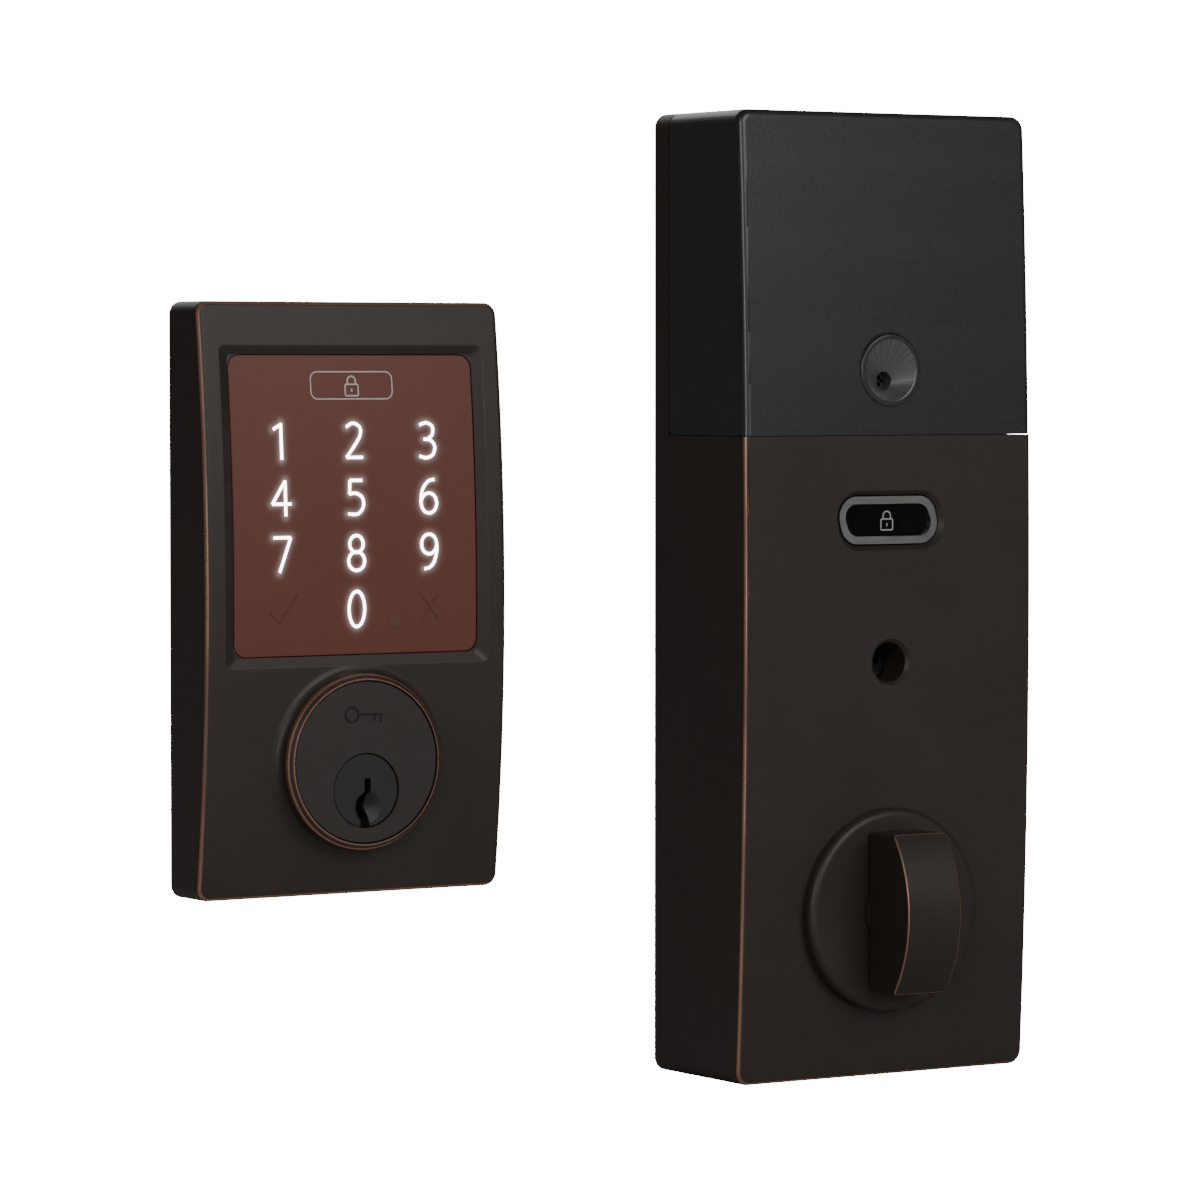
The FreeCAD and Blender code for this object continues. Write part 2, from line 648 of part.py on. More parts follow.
def keypad_back_plate():
    x = grown(EXT_CAVITY_X, -PLATE_FIT)
    z = grown(EXT_CAVITY_Z, -PLATE_FIT)
    plate = rounded_plate(x, (PLATE_FRONT_Y, PLATE_BACK_Y), z, EXT_CORNER_R - EXT_WALL + 0.4)
    y = (PLATE_FRONT_Y - 1.0, PLATE_BACK_Y + 1.0)
    for cutter in plate_openings(y, 0.0):
        plate = plate.cut(cutter)
    for x, z in CORNER_SCREWS + BOARD_POSTS:
        plate = plate.cut(rod(x, z, M2_R + HOLE_CLEAR, y))
    for x, z in CYL_SCREWS:
        plate = plate.cut(rod(x, z, CYL_SCREW_R + HOLE_CLEAR / 2, y))
    return plate


def back_plate_screws():
    screws = []
    for x, z in CORNER_SCREWS:
        head = rod(x, z, M2_HEAD_R, (PLATE_BACK_Y, PLATE_BACK_Y + M2_HEAD_H))
        slot = box((x - 0.3, x + 0.3), (PLATE_BACK_Y + 0.6, PLATE_BACK_Y + 2.0), (z - 1.3, z + 1.3))
        screws.append(joined([head, rod(x, z, M2_R, (PLATE_BACK_Y - 5.0, PLATE_BACK_Y))]).cut(slot))
    return screws


def board_standoffs():
    return [tube(x, z, BOARD_POST_R, M2_R, (BOARD_BACK_Y, PLATE_FRONT_Y)) for x, z in BOARD_POSTS]


def weather_gasket():
    sheet = rounded_plate(grown(EXT_CAVITY_X, -PLATE_FIT), (PLATE_BACK_Y, 0.0),
                          grown(EXT_CAVITY_Z, -PLATE_FIT), EXT_CORNER_R - EXT_WALL + 0.4)
    y = (PLATE_BACK_Y - 1.0, 1.0)
    for cutter in plate_openings(y, 1.0):
        sheet = sheet.cut(cutter)
    for x, z in CYL_SCREWS:
        sheet = sheet.cut(rod(x, z, CYL_SCREW_HEAD_R + 0.4, y))
    for x, z in CORNER_SCREWS + BOARD_POSTS:
        sheet = sheet.cut(rod(x, z, M2_HEAD_R + 0.4, y))
    return sheet


def through_bolt_posts():
    """Threaded posts that the long bolts from inside the door screw into."""
    posts = []
    for x, z in POSTS:
        flange = rod(x, z, POST_FLANGE_R, (PLATE_FRONT_Y - POST_FLANGE_T, PLATE_FRONT_Y))
        stem = rod(x, z, POST_R, (PLATE_FRONT_Y, POST_END))
        posts.append(joined([flange, stem]).cut(rod(x, z, POST_THREAD_R, (-1.5, POST_END + 1.0))))
    return posts


def cylinder_screws():
    return [joined([rod(x, z, CYL_SCREW_HEAD_R, (PLATE_BACK_Y, PLATE_BACK_Y + 1.4)),
                    rod(x, z, CYL_SCREW_R, (CYL_SHOULDER_Y - 3.0, PLATE_BACK_Y))])
            for x, z in CYL_SCREWS]


# Key cylinder. Pins are counted from the face; heights are from the plug's axis.
PIN_Y = [CYL_FACE_Y + PIN_FIRST + PIN_PITCH * i for i in range(PIN_COUNT)]
CHAMBER_R = PIN_R + PIN_RUN
STRIP_TOP = PLUG_DROP + math.sqrt(CYL_SHANK_R ** 2 - (COVER_STRIP_W / 2) ** 2) - 0.05
STRIP_BOTTOM = STRIP_TOP - COVER_STRIP_T
STRIP_Y = (PIN_Y[0] - CHAMBER_R - 0.15, PIN_Y[-1] + CHAMBER_R + 0.6)
DRIVER_FOOT = PLUG_R + SHEAR_GAP / 2
PLUG_STUB_END_Y = CYL_REAR_Y + PLUG_STUB_L


def cylinder_body():
    body = joined([rod(XE, RING_Z, CYL_FLANGE_R, (CYL_FACE_Y, CYL_SHOULDER_Y)),
                   rod(XE, RING_Z, CYL_SHANK_R, (CYL_SHOULDER_Y, CYL_REAR_Y))])
    body = body.cut(rod(XE, PLUG_Z, PLUG_R + PLUG_RUN, (CYL_FACE_Y - 1.0, CYL_REAR_Y + 1.0)))
    body = body.cut(rod(XE, PLUG_Z, PLUG_HEAD_R + PLUG_HEAD_GAP,
                        (CYL_FACE_Y - 1.0, CYL_FACE_Y + 2 * PLUG_HEAD_GAP + PLUG_HEAD_T - 0.2)))
    for y in PIN_Y:
        body = body.cut(upright(XE, y, CHAMBER_R, (PLUG_Z, PLUG_Z + STRIP_BOTTOM + 0.2)))
    half = COVER_STRIP_W / 2 + 0.1
    body = body.cut(box((XE - half, XE + half), STRIP_Y, (PLUG_Z + STRIP_BOTTOM, PLUG_Z + 30.0)))
    for x, z in CYL_SCREWS:
        body = body.cut(rod(x, z, CYL_SCREW_R, (CYL_SHOULDER_Y - 3.2, CYL_SHOULDER_Y + 1.0)))
    return body


def chamber_cover():
    half = COVER_STRIP_W / 2
    return box((XE - half, XE + half), grown(STRIP_Y, -0.1),
               (PLUG_Z + STRIP_BOTTOM, PLUG_Z + STRIP_TOP - 0.1))


def keyway(y):
    """Warded key slot, open below."""
    outline = [(1.25, 2.55), (1.25, 0.0), (0.2, -1.6), (0.1, -3.6), (0.9, -5.6), (0.9, -8.6),
               (-1.4, -8.6), (-1.4, -6.2), (-2.3, -3.8), (-2.0, -1.8), (-0.25, -0.2), (-0.25, 2.55)]
    points = [Vector(XE + x, y[0], PLUG_Z + z) for x, z in outline]
    return Part.Face(Part.makePolygon(points + points[:1])).extrude(Vector(0, y[1] - y[0], 0))


def cylinder_plug():
    front = CYL_FACE_Y + PLUG_HEAD_GAP
    plug = joined([rod(XE, PLUG_Z, PLUG_HEAD_R, (front, front + PLUG_HEAD_T)),
                   rod(XE, PLUG_Z, PLUG_R, (front, CYL_REAR_Y)),
                   rod(XE, PLUG_Z, PLUG_STUB_R, (CYL_REAR_Y, PLUG_STUB_END_Y))])
    plug = plug.cut(keyway((front - 1.0, PIN_Y[-1] + 2.2)))
    plug = plug.cut(taper(XE + 0.5, PLUG_Z - 3.7, (3.4, 0.6), (front - 0.05, front + 1.3)))
    for y in PIN_Y:
        plug = plug.cut(upright(XE, y, CHAMBER_R, (PLUG_Z + KEY_PIN_FOOT - 0.2, PLUG_Z + PLUG_R)))
    x, z = step_from((XE, PLUG_Z), DRIVE_PIN_AT, 135.0)
    drive_pin = rod(x, z, DRIVE_PIN_R, (PLUG_STUB_END_Y - 0.5, PLUG_STUB_END_Y + TAIL_DISC_T))
    return joined([plug, drive_pin])


def key_pins():
    """Lower pins, at the height that the right key holds them at."""
    top = PLUG_R - SHEAR_GAP
    return [upright(XE, y, PIN_R, (PLUG_Z + KEY_PIN_FOOT, PLUG_Z + top)) for y in PIN_Y]


def driver_pins():
    return [upright(XE, y, PIN_R, (PLUG_Z + DRIVER_FOOT, PLUG_Z + DRIVER_FOOT + DRIVER_L))
            for y in PIN_Y]


def pin_springs():
    foot = DRIVER_FOOT + DRIVER_L + 0.02
    height = STRIP_BOTTOM - foot - 0.02
    return [coil_spring(XE, y, PLUG_Z + foot, 1.1, 0.18, 6, height) for y in PIN_Y]


CAP_Y = (CYL_REAR_Y + CAP_GAP, CYL_REAR_Y + CAP_GAP + CAP_LENGTH)
TAIL_DISC_Y = (PLUG_STUB_END_Y + 0.15, PLUG_STUB_END_Y + 0.15 + TAIL_DISC_T)


def plug_cap():
    """Cap on the plug's rear end that holds the tailpiece."""
    cap = rod(XE, PLUG_Z, CAP_R, CAP_Y)
    cap = cap.cut(rod(XE, PLUG_Z, PLUG_STUB_R, (CAP_Y[0] - 1.0, PLUG_STUB_END_Y)))
    cap = cap.cut(rod(XE, PLUG_Z, CAP_CHAMBER_R, (PLUG_STUB_END_Y, TAIL_DISC_Y[1] + 0.15)))
    cap = cap.cut(rod(XE, PLUG_Z, CAP_EXIT_R, (CAP_Y[0], CAP_Y[1] + 1.0)))
    rim = [edge for edge in cap.Edges if abs(edge.BoundBox.YLength) < 1e-4
           and abs(edge.CenterOfMass.y - CAP_Y[1]) < 1e-4 and edge.BoundBox.XLength > 2 * CAP_R - 0.1]
    return cap.makeChamfer(0.6, rim)


def tailpiece():
    """Flat blade on a slotted disc; the slot gives the plug its free turn before it drives."""
    disc = rod(XE, PLUG_Z, TAIL_DISC_R, TAIL_DISC_Y)
    blade = box((XE - TAIL_T / 2, XE + TAIL_T / 2), (TAIL_DISC_Y[1], TAIL_END),
                (PLUG_Z - TAIL_W / 2, PLUG_Z + TAIL_W / 2))
    slot_half = DRIVE_PIN_R + 0.12
    y = (TAIL_DISC_Y[0] - 1.0, TAIL_DISC_Y[1])
    slot = tube(XE, PLUG_Z, DRIVE_PIN_AT + slot_half, DRIVE_PIN_AT - slot_half, y)
    spare = 2.0
    first = 135.0 + spare
    last = 135.0 - LOST_MOTION - spare
    rays = [step_from((XE, PLUG_Z), 9.0, last + (first - last) * i / 4) for i in range(5)]
    points = [Vector(XE, y[0], PLUG_Z)] + [Vector(x, y[0], z) for x, z in rays]
    wedge = Part.Face(Part.makePolygon(points + points[:1])).extrude(Vector(0, y[1] - y[0], 0))
    cutters = [slot.common(wedge)]
    for angle in (first, last):
        x, z = step_from((XE, PLUG_Z), DRIVE_PIN_AT, angle)
        cutters.append(rod(x, z, slot_half, y))
    for cutter in cutters:
        disc = disc.cut(cutter)
    return joined([disc, blade])


export("keypad_escutcheon", keypad_escutcheon())
export("touchscreen_lens", touchscreen_lens())
export("lens_seal", lens_seal())
export("light_guide", light_guide())
export("touch_board", touch_board())
export("touch_board_chips", touch_board_chips())
export("backlight_leds", backlight_leds())
export("keypad_beeper", keypad_beeper())
export("cable_header", cable_header())
export("keypad_back_plate", keypad_back_plate())
export("back_plate_screws", back_plate_screws())
export("board_standoffs", board_standoffs())
export("weather_gasket", weather_gasket())
export("through_bolt_posts", through_bolt_posts())
export("cylinder_screws", cylinder_screws())
export("cylinder_body", cylinder_body())
export("chamber_cover", chamber_cover())
export("cylinder_plug", cylinder_plug())
export("key_pins", key_pins())
export("driver_pins", driver_pins())
export("pin_springs", pin_springs())
export("plug_cap", plug_cap())
export("tailpiece", tailpiece())

# ---------------------------------------------------------------- inside unit

INT_X = (-INT_W / 2, INT_W / 2)
INT_Z = (INT_BOTTOM, INT_TOP)
INT_CAVITY_X = grown(INT_X, -INT_WALL)
FRONT_LIMIT_Y = -INT_DEPTH - INT_BOW - 5.0
SUPPORT_HALF_W = INT_W / 2 - INT_WALL - SUPPORT_FIT
SUPPORT_Z = (INT_BOTTOM + INT_WALL + SUPPORT_FIT, SPLIT_Z + SUPPORT_ABOVE_SPLIT)
TOP_SCREWS = [(side * (BAY_HALF_W + 3.5), SUPPORT_Z[1] - 10.0) for side in (-1, 1)]
TOP_SCREW_R = 1.3
TOP_HEAD_R = 2.2
CABLE_SLOT_HALF_W = 7.0
CABLE_SLOT_Z = (15.0, 21.0)
BOLT_HOLE_R = 2.6
GEARBOX_POSTS = [
    (GEARBOX_X[0] + 3.0, GEARBOX_Z[0] + 8.0), (GEARBOX_X[0] + 3.0, GEARBOX_Z[1] - 3.0),
    (GEARBOX_X[1] - 3.0, GEARBOX_Z[0] + 8.0), (GEARBOX_X[1] - 3.0, GEARBOX_Z[1] - 7.0)]
GEARBOX_POST_R = 2.0
GEARBOX_NECK_R = 1.2
GEARBOX_FOOT_R = 2.6
CONTROL_POSTS = [
    (side * (CONTROL_HALF_W - 3.0), z)
    for side in (-1, 1)
    for z in (CONTROL_Z[0] + 3.0, CONTROL_Z[1] - 3.0)]
CONTROL_POST_R = 2.5
SWITCH_Y = (CONTROL_Y[0] - 3.5, CONTROL_Y[0])


def button_outline(offset, y):
    """Slanted pill of the pairing button, larger all round by offset."""
    half_w = BUTTON_W / 2 + offset
    half_h = BUTTON_H / 2 + offset
    slant = BUTTON_SLANT
    points = [(-half_w + slant, BUTTON_Z - half_h), (half_w + slant, BUTTON_Z - half_h),
              (half_w - slant, BUTTON_Z + half_h), (-half_w - slant, BUTTON_Z + half_h)]
    return rounded_prism(points, BUTTON_CORNER_R + offset, y)


def interior_housing():
    outer = bowed_body(INT_FRONT, INT_X, INT_Z, 0.0, INT_CORNER_R, INT_RIM_R)
    above = box(grown(INT_X, 5.0), (FRONT_LIMIT_Y, -TRAY_DEPTH), (SPLIT_Z, INT_TOP + 5.0))
    shell = outer.cut(above)
    lower = bowed_block(INT_FRONT, INT_WALL, INT_CAVITY_X,
                        (INT_BOTTOM + INT_WALL, SPLIT_Z - SHELF_T), 1.0)
    shell = shell.cut(lower.makeFillet(INT_CORNER_R - INT_WALL + 0.4, edges_along_y(lower)))
    tray = rounded_plate(grown(INT_X, -TRAY_RIM_T), (-TRAY_DEPTH - 1.0, TRAY_FLOOR_Y[0]),
                         (SPLIT_Z, INT_TOP - TRAY_RIM_T), INT_CORNER_R - TRAY_RIM_T + 0.4)
    behind = box(INT_CAVITY_X, (TRAY_FLOOR_Y[1], 1.0), (SPLIT_Z - SHELF_T - 1.0, SUPPORT_Z[1] + 0.4))
    shell = shell.cut(tray).cut(behind)

    tube_y = (bow_y(INT_FRONT, ACCESS_Z) + INT_WALL / 2, ACCESS_SEAT_Y + SEAT_T)
    collar_y = (bow_y(INT_FRONT, BUTTON_Z) + INT_WALL / 2, RING_BACK_Y - BUTTON_REST)
    shell = joined([
        shell,
        rod(0.0, ACCESS_Z, ACCESS_TUBE_R, tube_y),
        button_outline(BUTTON_FLANGE + 1.4, collar_y),
        rod(0.0, LOCK_Z, SLEEVE_R, (LOCK_BOSS_Y, TRAY_FLOOR_Y[0]))])

    rim_y = bow_y(INT_FRONT, ACCESS_Z)
    shell = shell.cut(rod(0.0, ACCESS_Z, ACCESS_R, (FRONT_LIMIT_Y, ACCESS_SEAT_Y)))
    shell = shell.cut(rod(0.0, ACCESS_Z, FIX_SCREW_R + HOLE_CLEAR, (ACCESS_SEAT_Y - 1.0, 0.0)))
    shell = shell.cut(taper(0.0, ACCESS_Z, (ACCESS_R + 2 * ACCESS_CHAMFER, ACCESS_R),
                            (rim_y - ACCESS_CHAMFER, rim_y + ACCESS_CHAMFER)))
    pocket = button_outline(BUTTON_GAP, (FRONT_LIMIT_Y, collar_y[1] + 1.0))
    shell = shell.cut(pocket).cut(button_bevel())
    shell = shell.cut(rod(0.0, 0.0, ROSE_SPIGOT_R + ROSE_FIT, (FRONT_LIMIT_Y, -INT_DEPTH / 2)))
    shell = shell.cut(rod(0.0, LOCK_Z, COVER_SCREW_R + COVER_SCREW_RUN,
                          (LOCK_BOSS_Y - 1.0, TRAY_FLOOR_Y[0] - 2.0)))
    for x, z in TOP_SCREWS:
        shell = shell.cut(rod(x, z, TOP_SCREW_R + HOLE_CLEAR, (-TRAY_DEPTH, 0.0)))
    return shell


def button_bevel():
    """Flare round the mouth of the button's pocket."""
    surface = bow_y(INT_FRONT, BUTTON_Z)
    sections = []
    for offset, y in ((BUTTON_GAP + 2 * BUTTON_BEVEL, surface - BUTTON_BEVEL),
                      (BUTTON_GAP, surface + BUTTON_BEVEL)):
        prism = button_outline(offset, (y, y + 1.0))
        faces = [face for face in prism.Faces if abs(face.CenterOfMass.y - y) < 1e-4]
        sections.append(faces[0].OuterWire)
    return Part.makeLoft(sections, True, True)


def battery_cover():
    outer = bowed_body(INT_FRONT, INT_X, INT_Z, 0.0, INT_CORNER_R, COVER_RIM_R)
    keep = box(grown(INT_X, 5.0), (FRONT_LIMIT_Y, COVER_BACK_Y), (COVER_BOTTOM_Z, INT_TOP + 5.0))
    shell = outer.common(keep)
    heel = [edge for edge in shell.Edges
            if abs(edge.CenterOfMass.y - COVER_BACK_Y) < 1e-3
            and abs(edge.CenterOfMass.z - COVER_BOTTOM_Z) < 1e-3 and edge.BoundBox.XLength > INT_W / 2]
    shell = shell.makeFillet(COVER_HEEL_R, heel)
    cavity = bowed_block(INT_FRONT, INT_WALL, INT_CAVITY_X,
                         (COVER_BOTTOM_Z + INT_WALL, INT_TOP - INT_WALL), 0.0)
    shell = shell.cut(cavity.makeFillet(INT_CORNER_R - INT_WALL + 0.4, edges_along_y(cavity)))

    face_y = bow_y(INT_FRONT, FUNNEL_Z)
    mouth_y = face_y - FUNNEL_COLLAR_H
    collar_r = FUNNEL_R + FUNNEL_COLLAR_W
    collar = taper(0.0, FUNNEL_Z, (collar_r, collar_r + 1.2 * FUNNEL_COLLAR_H), (mouth_y, face_y + 0.4))
    backing = rod(0.0, FUNNEL_Z, collar_r, (face_y + INT_WALL / 2, mouth_y + FUNNEL_DEEP + 1.6))
    sleeve = rod(0.0, LOCK_Z, SLEEVE_R, (mouth_y + FUNNEL_DEEP, SLEEVE_END_Y))
    shell = joined([shell, collar, backing, sleeve])
    shell = shell.cut(funnel(mouth_y))
    lips = [edge for edge in shell.Edges
            if edge.BoundBox.YLength < 0.1 and abs(edge.BoundBox.YMin - mouth_y) < 0.05
            and abs(edge.BoundBox.Center.z - FUNNEL_Z) < 0.1]
    shell = shell.makeFillet(FUNNEL_LIP_R, lips)
    shoulder_y = COVER_SCREW_HEAD_Y[1]
    shell = shell.cut(rod(0.0, LOCK_Z, FUNNEL_HOLE_R, (mouth_y + FUNNEL_DEEP - 0.2, shoulder_y)))
    return shell.cut(rod(0.0, LOCK_Z, COVER_SCREW_R + HOLE_CLEAR, (shoulder_y - 1.0, SLEEVE_END_Y + 1.0)))


def funnel(mouth_y):
    """Lead-in that narrows to the lock screw's hole, which lies below its centre."""
    over = 0.02
    mouth = Part.Circle(Vector(0, mouth_y - over, FUNNEL_Z), Vector(0, 1, 0), FUNNEL_R)
    floor = Part.Circle(Vector(0, mouth_y + FUNNEL_DEEP, LOCK_Z), Vector(0, 1, 0), FUNNEL_HOLE_R)
    return Part.makeLoft([Part.Wire(mouth.toShape()), Part.Wire(floor.toShape())], True, True)


COVER_SCREW_HEAD_Y = (-31.6, -31.6 + COVER_SCREW_HEAD_H)


def cross_recess(x, z, head_y, size, deep):
    """Cross-shaped driver recess cut from head_y into a screw head."""
    y = (head_y - 1.0, head_y + deep)
    arm = size / 6
    across = box((x - size / 2, x + size / 2), y, (z - arm, z + arm))
    down = box((x - arm, x + arm), y, (z - size / 2, z + size / 2))
    return across.fuse(down)


def cover_screw():
    head = rod(0.0, LOCK_Z, COVER_SCREW_HEAD_R, COVER_SCREW_HEAD_Y)
    shank = rod(0.0, LOCK_Z, COVER_SCREW_R, (COVER_SCREW_HEAD_Y[1], LOCK_BOSS_Y + 8.0))
    screw = joined([head, shank])
    return screw.cut(cross_recess(0.0, LOCK_Z, COVER_SCREW_HEAD_Y[0], 2.4, 0.8))


def thumbturn_rose():
    """Round plate round the thumbturn; its underside is cut to the body's bow."""
    dome = rod(0.0, 0.0, ROSE_R, (ROSE_FRONT_Y, -INT_DEPTH + 2.0))
    rim = [edge for edge in dome.Edges if abs(edge.CenterOfMass.y - ROSE_FRONT_Y) < 1e-4
           and edge.BoundBox.XLength > ROSE_R]
    dome = dome.makeFillet(ROSE_RIM_R, rim)
    dome = dome.cut(bowed_block(INT_FRONT, 0.0, (-ROSE_R - 5, ROSE_R + 5), INT_Z, 0.0))
    dish = taper(0.0, 0.0, (ROSE_R - ROSE_RIM_R - 0.3, STEM_R), (ROSE_FRONT_Y, ROSE_FRONT_Y + ROSE_DISH))
    spigot = rod(0.0, 0.0, ROSE_SPIGOT_R, (ROSE_FRONT_Y + 1.0, bow_y(INT_FRONT, 0.0) + ROSE_SPIGOT_L))
    bore = rod(0.0, 0.0, STEM_R + STEM_RUN, (ROSE_FRONT_Y - 1.0, 0.0))
    return joined([dome, spigot]).cut(dish).cut(bore)


def thumbturn():
    half = TURN_L / 2
    end_y = TURN_REAR_Y - TURN_END_T
    middle_y = TURN_REAR_Y - TURN_MID_T
    x0 = -TURN_W / 2
    outline = Part.Wire([
        Part.makeLine(Vector(x0, TURN_REAR_Y, -half), Vector(x0, end_y, -half)),
        Part.Arc(Vector(x0, end_y, -half), Vector(x0, middle_y, 0), Vector(x0, end_y, half)).toShape(),
        Part.makeLine(Vector(x0, end_y, half), Vector(x0, TURN_REAR_Y, half)),
        Part.makeLine(Vector(x0, TURN_REAR_Y, half), Vector(x0, TURN_REAR_Y, -half))])
    bar = Part.Face(outline).extrude(Vector(TURN_W, 0, 0))
    bar = bar.makeFillet(TURN_CORNER_R, edges_along_y(bar))
    front = [edge for face in bar.Faces if isinstance(face.Surface, Part.Cylinder)
             and face.Surface.Radius > half for edge in face.OuterWire.Edges]
    bar = bar.makeFillet(TURN_EDGE_R, front)
    turn = joined([bar, rod(0.0, 0.0, STEM_R, (TURN_REAR_Y, STEM_END_Y))])
    socket_half = HUB_SQUARE / 2 + 0.02
    socket = box((-socket_half, socket_half), (STEM_END_Y - HUB_SQUARE_L - 0.2, 0.0),
                 (-socket_half, socket_half))
    hole = rod(0.0, 0.0, M2_R, (STEM_END_Y - HUB_SQUARE_L - 8.0, 0.0))
    return turn.cut(socket).cut(hole)


HUB_SCREW_HEAD_Y = (-26.0, -24.6)


def spindle_hub():
    """Turned hub: square for the thumbturn in front, slot for the latch blade behind."""
    hub = rod(0.0, 0.0, HUB_R, (STEM_END_Y, -0.2))
    half = HUB_SQUARE / 2
    square = box((-half, half), (STEM_END_Y - HUB_SQUARE_L, STEM_END_Y + 0.5), (-half, half))
    hub = joined([hub, square])
    hub = hub.cut(rod(0.0, 0.0, M2_R + HOLE_CLEAR, (STEM_END_Y - HUB_SQUARE_L - 1.0, 0.0)))
    hub = hub.cut(rod(0.0, 0.0, HUB_BORE_R, (HUB_SCREW_HEAD_Y[0], 1.0)))
    return hub.cut(box((-HUB_SLOT_W / 2, HUB_SLOT_W / 2), (-HUB_SLOT_L, 1.0),
                       (-HUB_SLOT_H / 2, HUB_SLOT_H / 2)))


def hub_screw():
    head = rod(0.0, 0.0, HUB_BORE_R - 0.3, HUB_SCREW_HEAD_Y)
    shank = rod(0.0, 0.0, M2_R, (STEM_END_Y - HUB_SQUARE_L - 6.0, HUB_SCREW_HEAD_Y[0]))
    recess = cross_recess(0.0, 0.0, HUB_SCREW_HEAD_Y[1] - 0.7, 2.4, 2.0)
    return joined([head, shank]).cut(recess)


def gear(axis, teeth, module, y, bore, phase):
    """Spur gear on an axis along Y, with a tooth centred phase degrees from +Z towards +X."""
    pitch_r = teeth * module / 2
    base_r = pitch_r * math.cos(math.radians(PRESSURE_ANGLE))
    tip_r = pitch_r + 0.9 * module
    root_r = pitch_r - 1.2 * module
    flank_r = max(base_r, root_r)
    tight = math.radians(PRESSURE_ANGLE)
    at_pitch = math.pi / (2 * teeth) - FLANK_RELIEF / pitch_r + math.tan(tight) - tight

    def half_angle(radius):
        steep = math.acos(min(1.0, base_r / radius))
        return at_pitch - (math.tan(steep) - steep)

    def at(radius, angle):
        x, z = step_from(axis, radius, phase + math.degrees(angle))
        return Vector(x, y[0], z)

    edges = []
    mid_r = (flank_r + tip_r) / 2
    for i in range(teeth):
        centre = 2 * math.pi * i / teeth
        after = centre + 2 * math.pi / teeth
        foot = half_angle(flank_r)
        if flank_r > root_r + 1e-6:
            edges.append(Part.makeLine(at(root_r, centre - foot), at(flank_r, centre - foot)))
        edges.append(Part.Arc(at(flank_r, centre - foot), at(mid_r, centre - half_angle(mid_r)),
                              at(tip_r, centre - half_angle(tip_r))).toShape())
        edges.append(Part.makeLine(at(tip_r, centre - half_angle(tip_r)),
                                   at(tip_r, centre + half_angle(tip_r))))
        edges.append(Part.Arc(at(tip_r, centre + half_angle(tip_r)), at(mid_r, centre + half_angle(mid_r)),
                              at(flank_r, centre + foot)).toShape())
        if flank_r > root_r + 1e-6:
            edges.append(Part.makeLine(at(flank_r, centre + foot), at(root_r, centre + foot)))
        edges.append(Part.makeLine(at(root_r, centre + foot), at(root_r, after - foot)))
    blank = Part.Face(Part.Wire(edges)).extrude(Vector(0, y[1] - y[0], 0))
    return blank.cut(rod(axis[0], axis[1], bore, grown(y, 1.0)))


def mate_phase(bearing, teeth):
    """Phase that puts a tooth space on the line back to the driving gear."""
    return bearing + 180.0 + 180.0 / teeth


def drive_gear():
    return gear((0.0, 0.0), DRIVE_TEETH, DRIVE_MODULE, DRIVE_GEAR_Y, HUB_R, A_BEARING)


def reduction_gear_a():
    bore = AXLE_R + AXLE_RUN
    pinion = gear(AXIS_A, PINION_TEETH, DRIVE_MODULE, A_PINION_Y, bore,
                  mate_phase(A_BEARING, PINION_TEETH))
    wheel = gear(AXIS_A, WHEEL_A_TEETH, MID_MODULE, A_WHEEL_Y, bore, B_BEARING)
    return joined([pinion, wheel])


def reduction_gear_b():
    bore = AXLE_R + AXLE_RUN
    pinion = gear(AXIS_B, PINION_TEETH, MID_MODULE, B_PINION_Y, bore,
                  mate_phase(B_BEARING, PINION_TEETH))
    wheel = gear(AXIS_B, WHEEL_B_TEETH, MOTOR_MODULE, B_WHEEL_Y, bore, MOTOR_BEARING)
    return joined([pinion, wheel])


def motor_pinion():
    teeth = gear(AXIS_MOTOR, PINION_TEETH, MOTOR_MODULE, MOTOR_PINION_Y, MOTOR_SHAFT_R,
                 mate_phase(MOTOR_BEARING, PINION_TEETH))
    return joined([teeth, rod(AXIS_MOTOR[0], AXIS_MOTOR[1], MOTOR_SHAFT_R,
                              (MOTOR_PINION_Y[0], MOTOR_Y[0] + 2.0))])


def motor_can():
    x, z = AXIS_MOTOR
    can = joined([rod(x, z, MOTOR_R, MOTOR_Y), rod(x, z, 2.5, (MOTOR_Y[0] - 0.4, MOTOR_Y[0])),
                  rod(x, z, 2.0, (MOTOR_Y[1], MOTOR_Y[1] + 1.2))])
    return can.cut(rod(x, z, MOTOR_SHAFT_R + AXLE_RUN, (MOTOR_Y[0] - 1.0, MOTOR_Y[0] + 2.2)))


def gear_axles():
    return [rod(axis[0], axis[1], AXLE_R, (FRONT_PLATE_Y[0] + 0.2, REAR_PLATE_Y[1] - 0.2))
            for axis in (AXIS_A, AXIS_B)]


def gearbox_plate(y):
    plate = rounded_plate(GEARBOX_X, y, GEARBOX_Z, 3.0)
    for axis in (AXIS_A, AXIS_B):
        plate = plate.cut(rod(axis[0], axis[1], AXLE_R, grown(y, 1.0)))
    for x, z in GEARBOX_POSTS:
        plate = plate.cut(rod(x, z, GEARBOX_NECK_R, grown(y, 1.0)))
    return plate


def gearbox_front_plate():
    cut_y = grown(FRONT_PLATE_Y, 1.0)
    return gearbox_plate(FRONT_PLATE_Y).cut(rod(AXIS_MOTOR[0], AXIS_MOTOR[1], 5.0, cut_y))


def gearbox_rear_plate():
    cut_y = grown(REAR_PLATE_Y, 1.0)
    return gearbox_plate(REAR_PLATE_Y).cut(rod(AXIS_MOTOR[0], AXIS_MOTOR[1], MOTOR_R, cut_y))


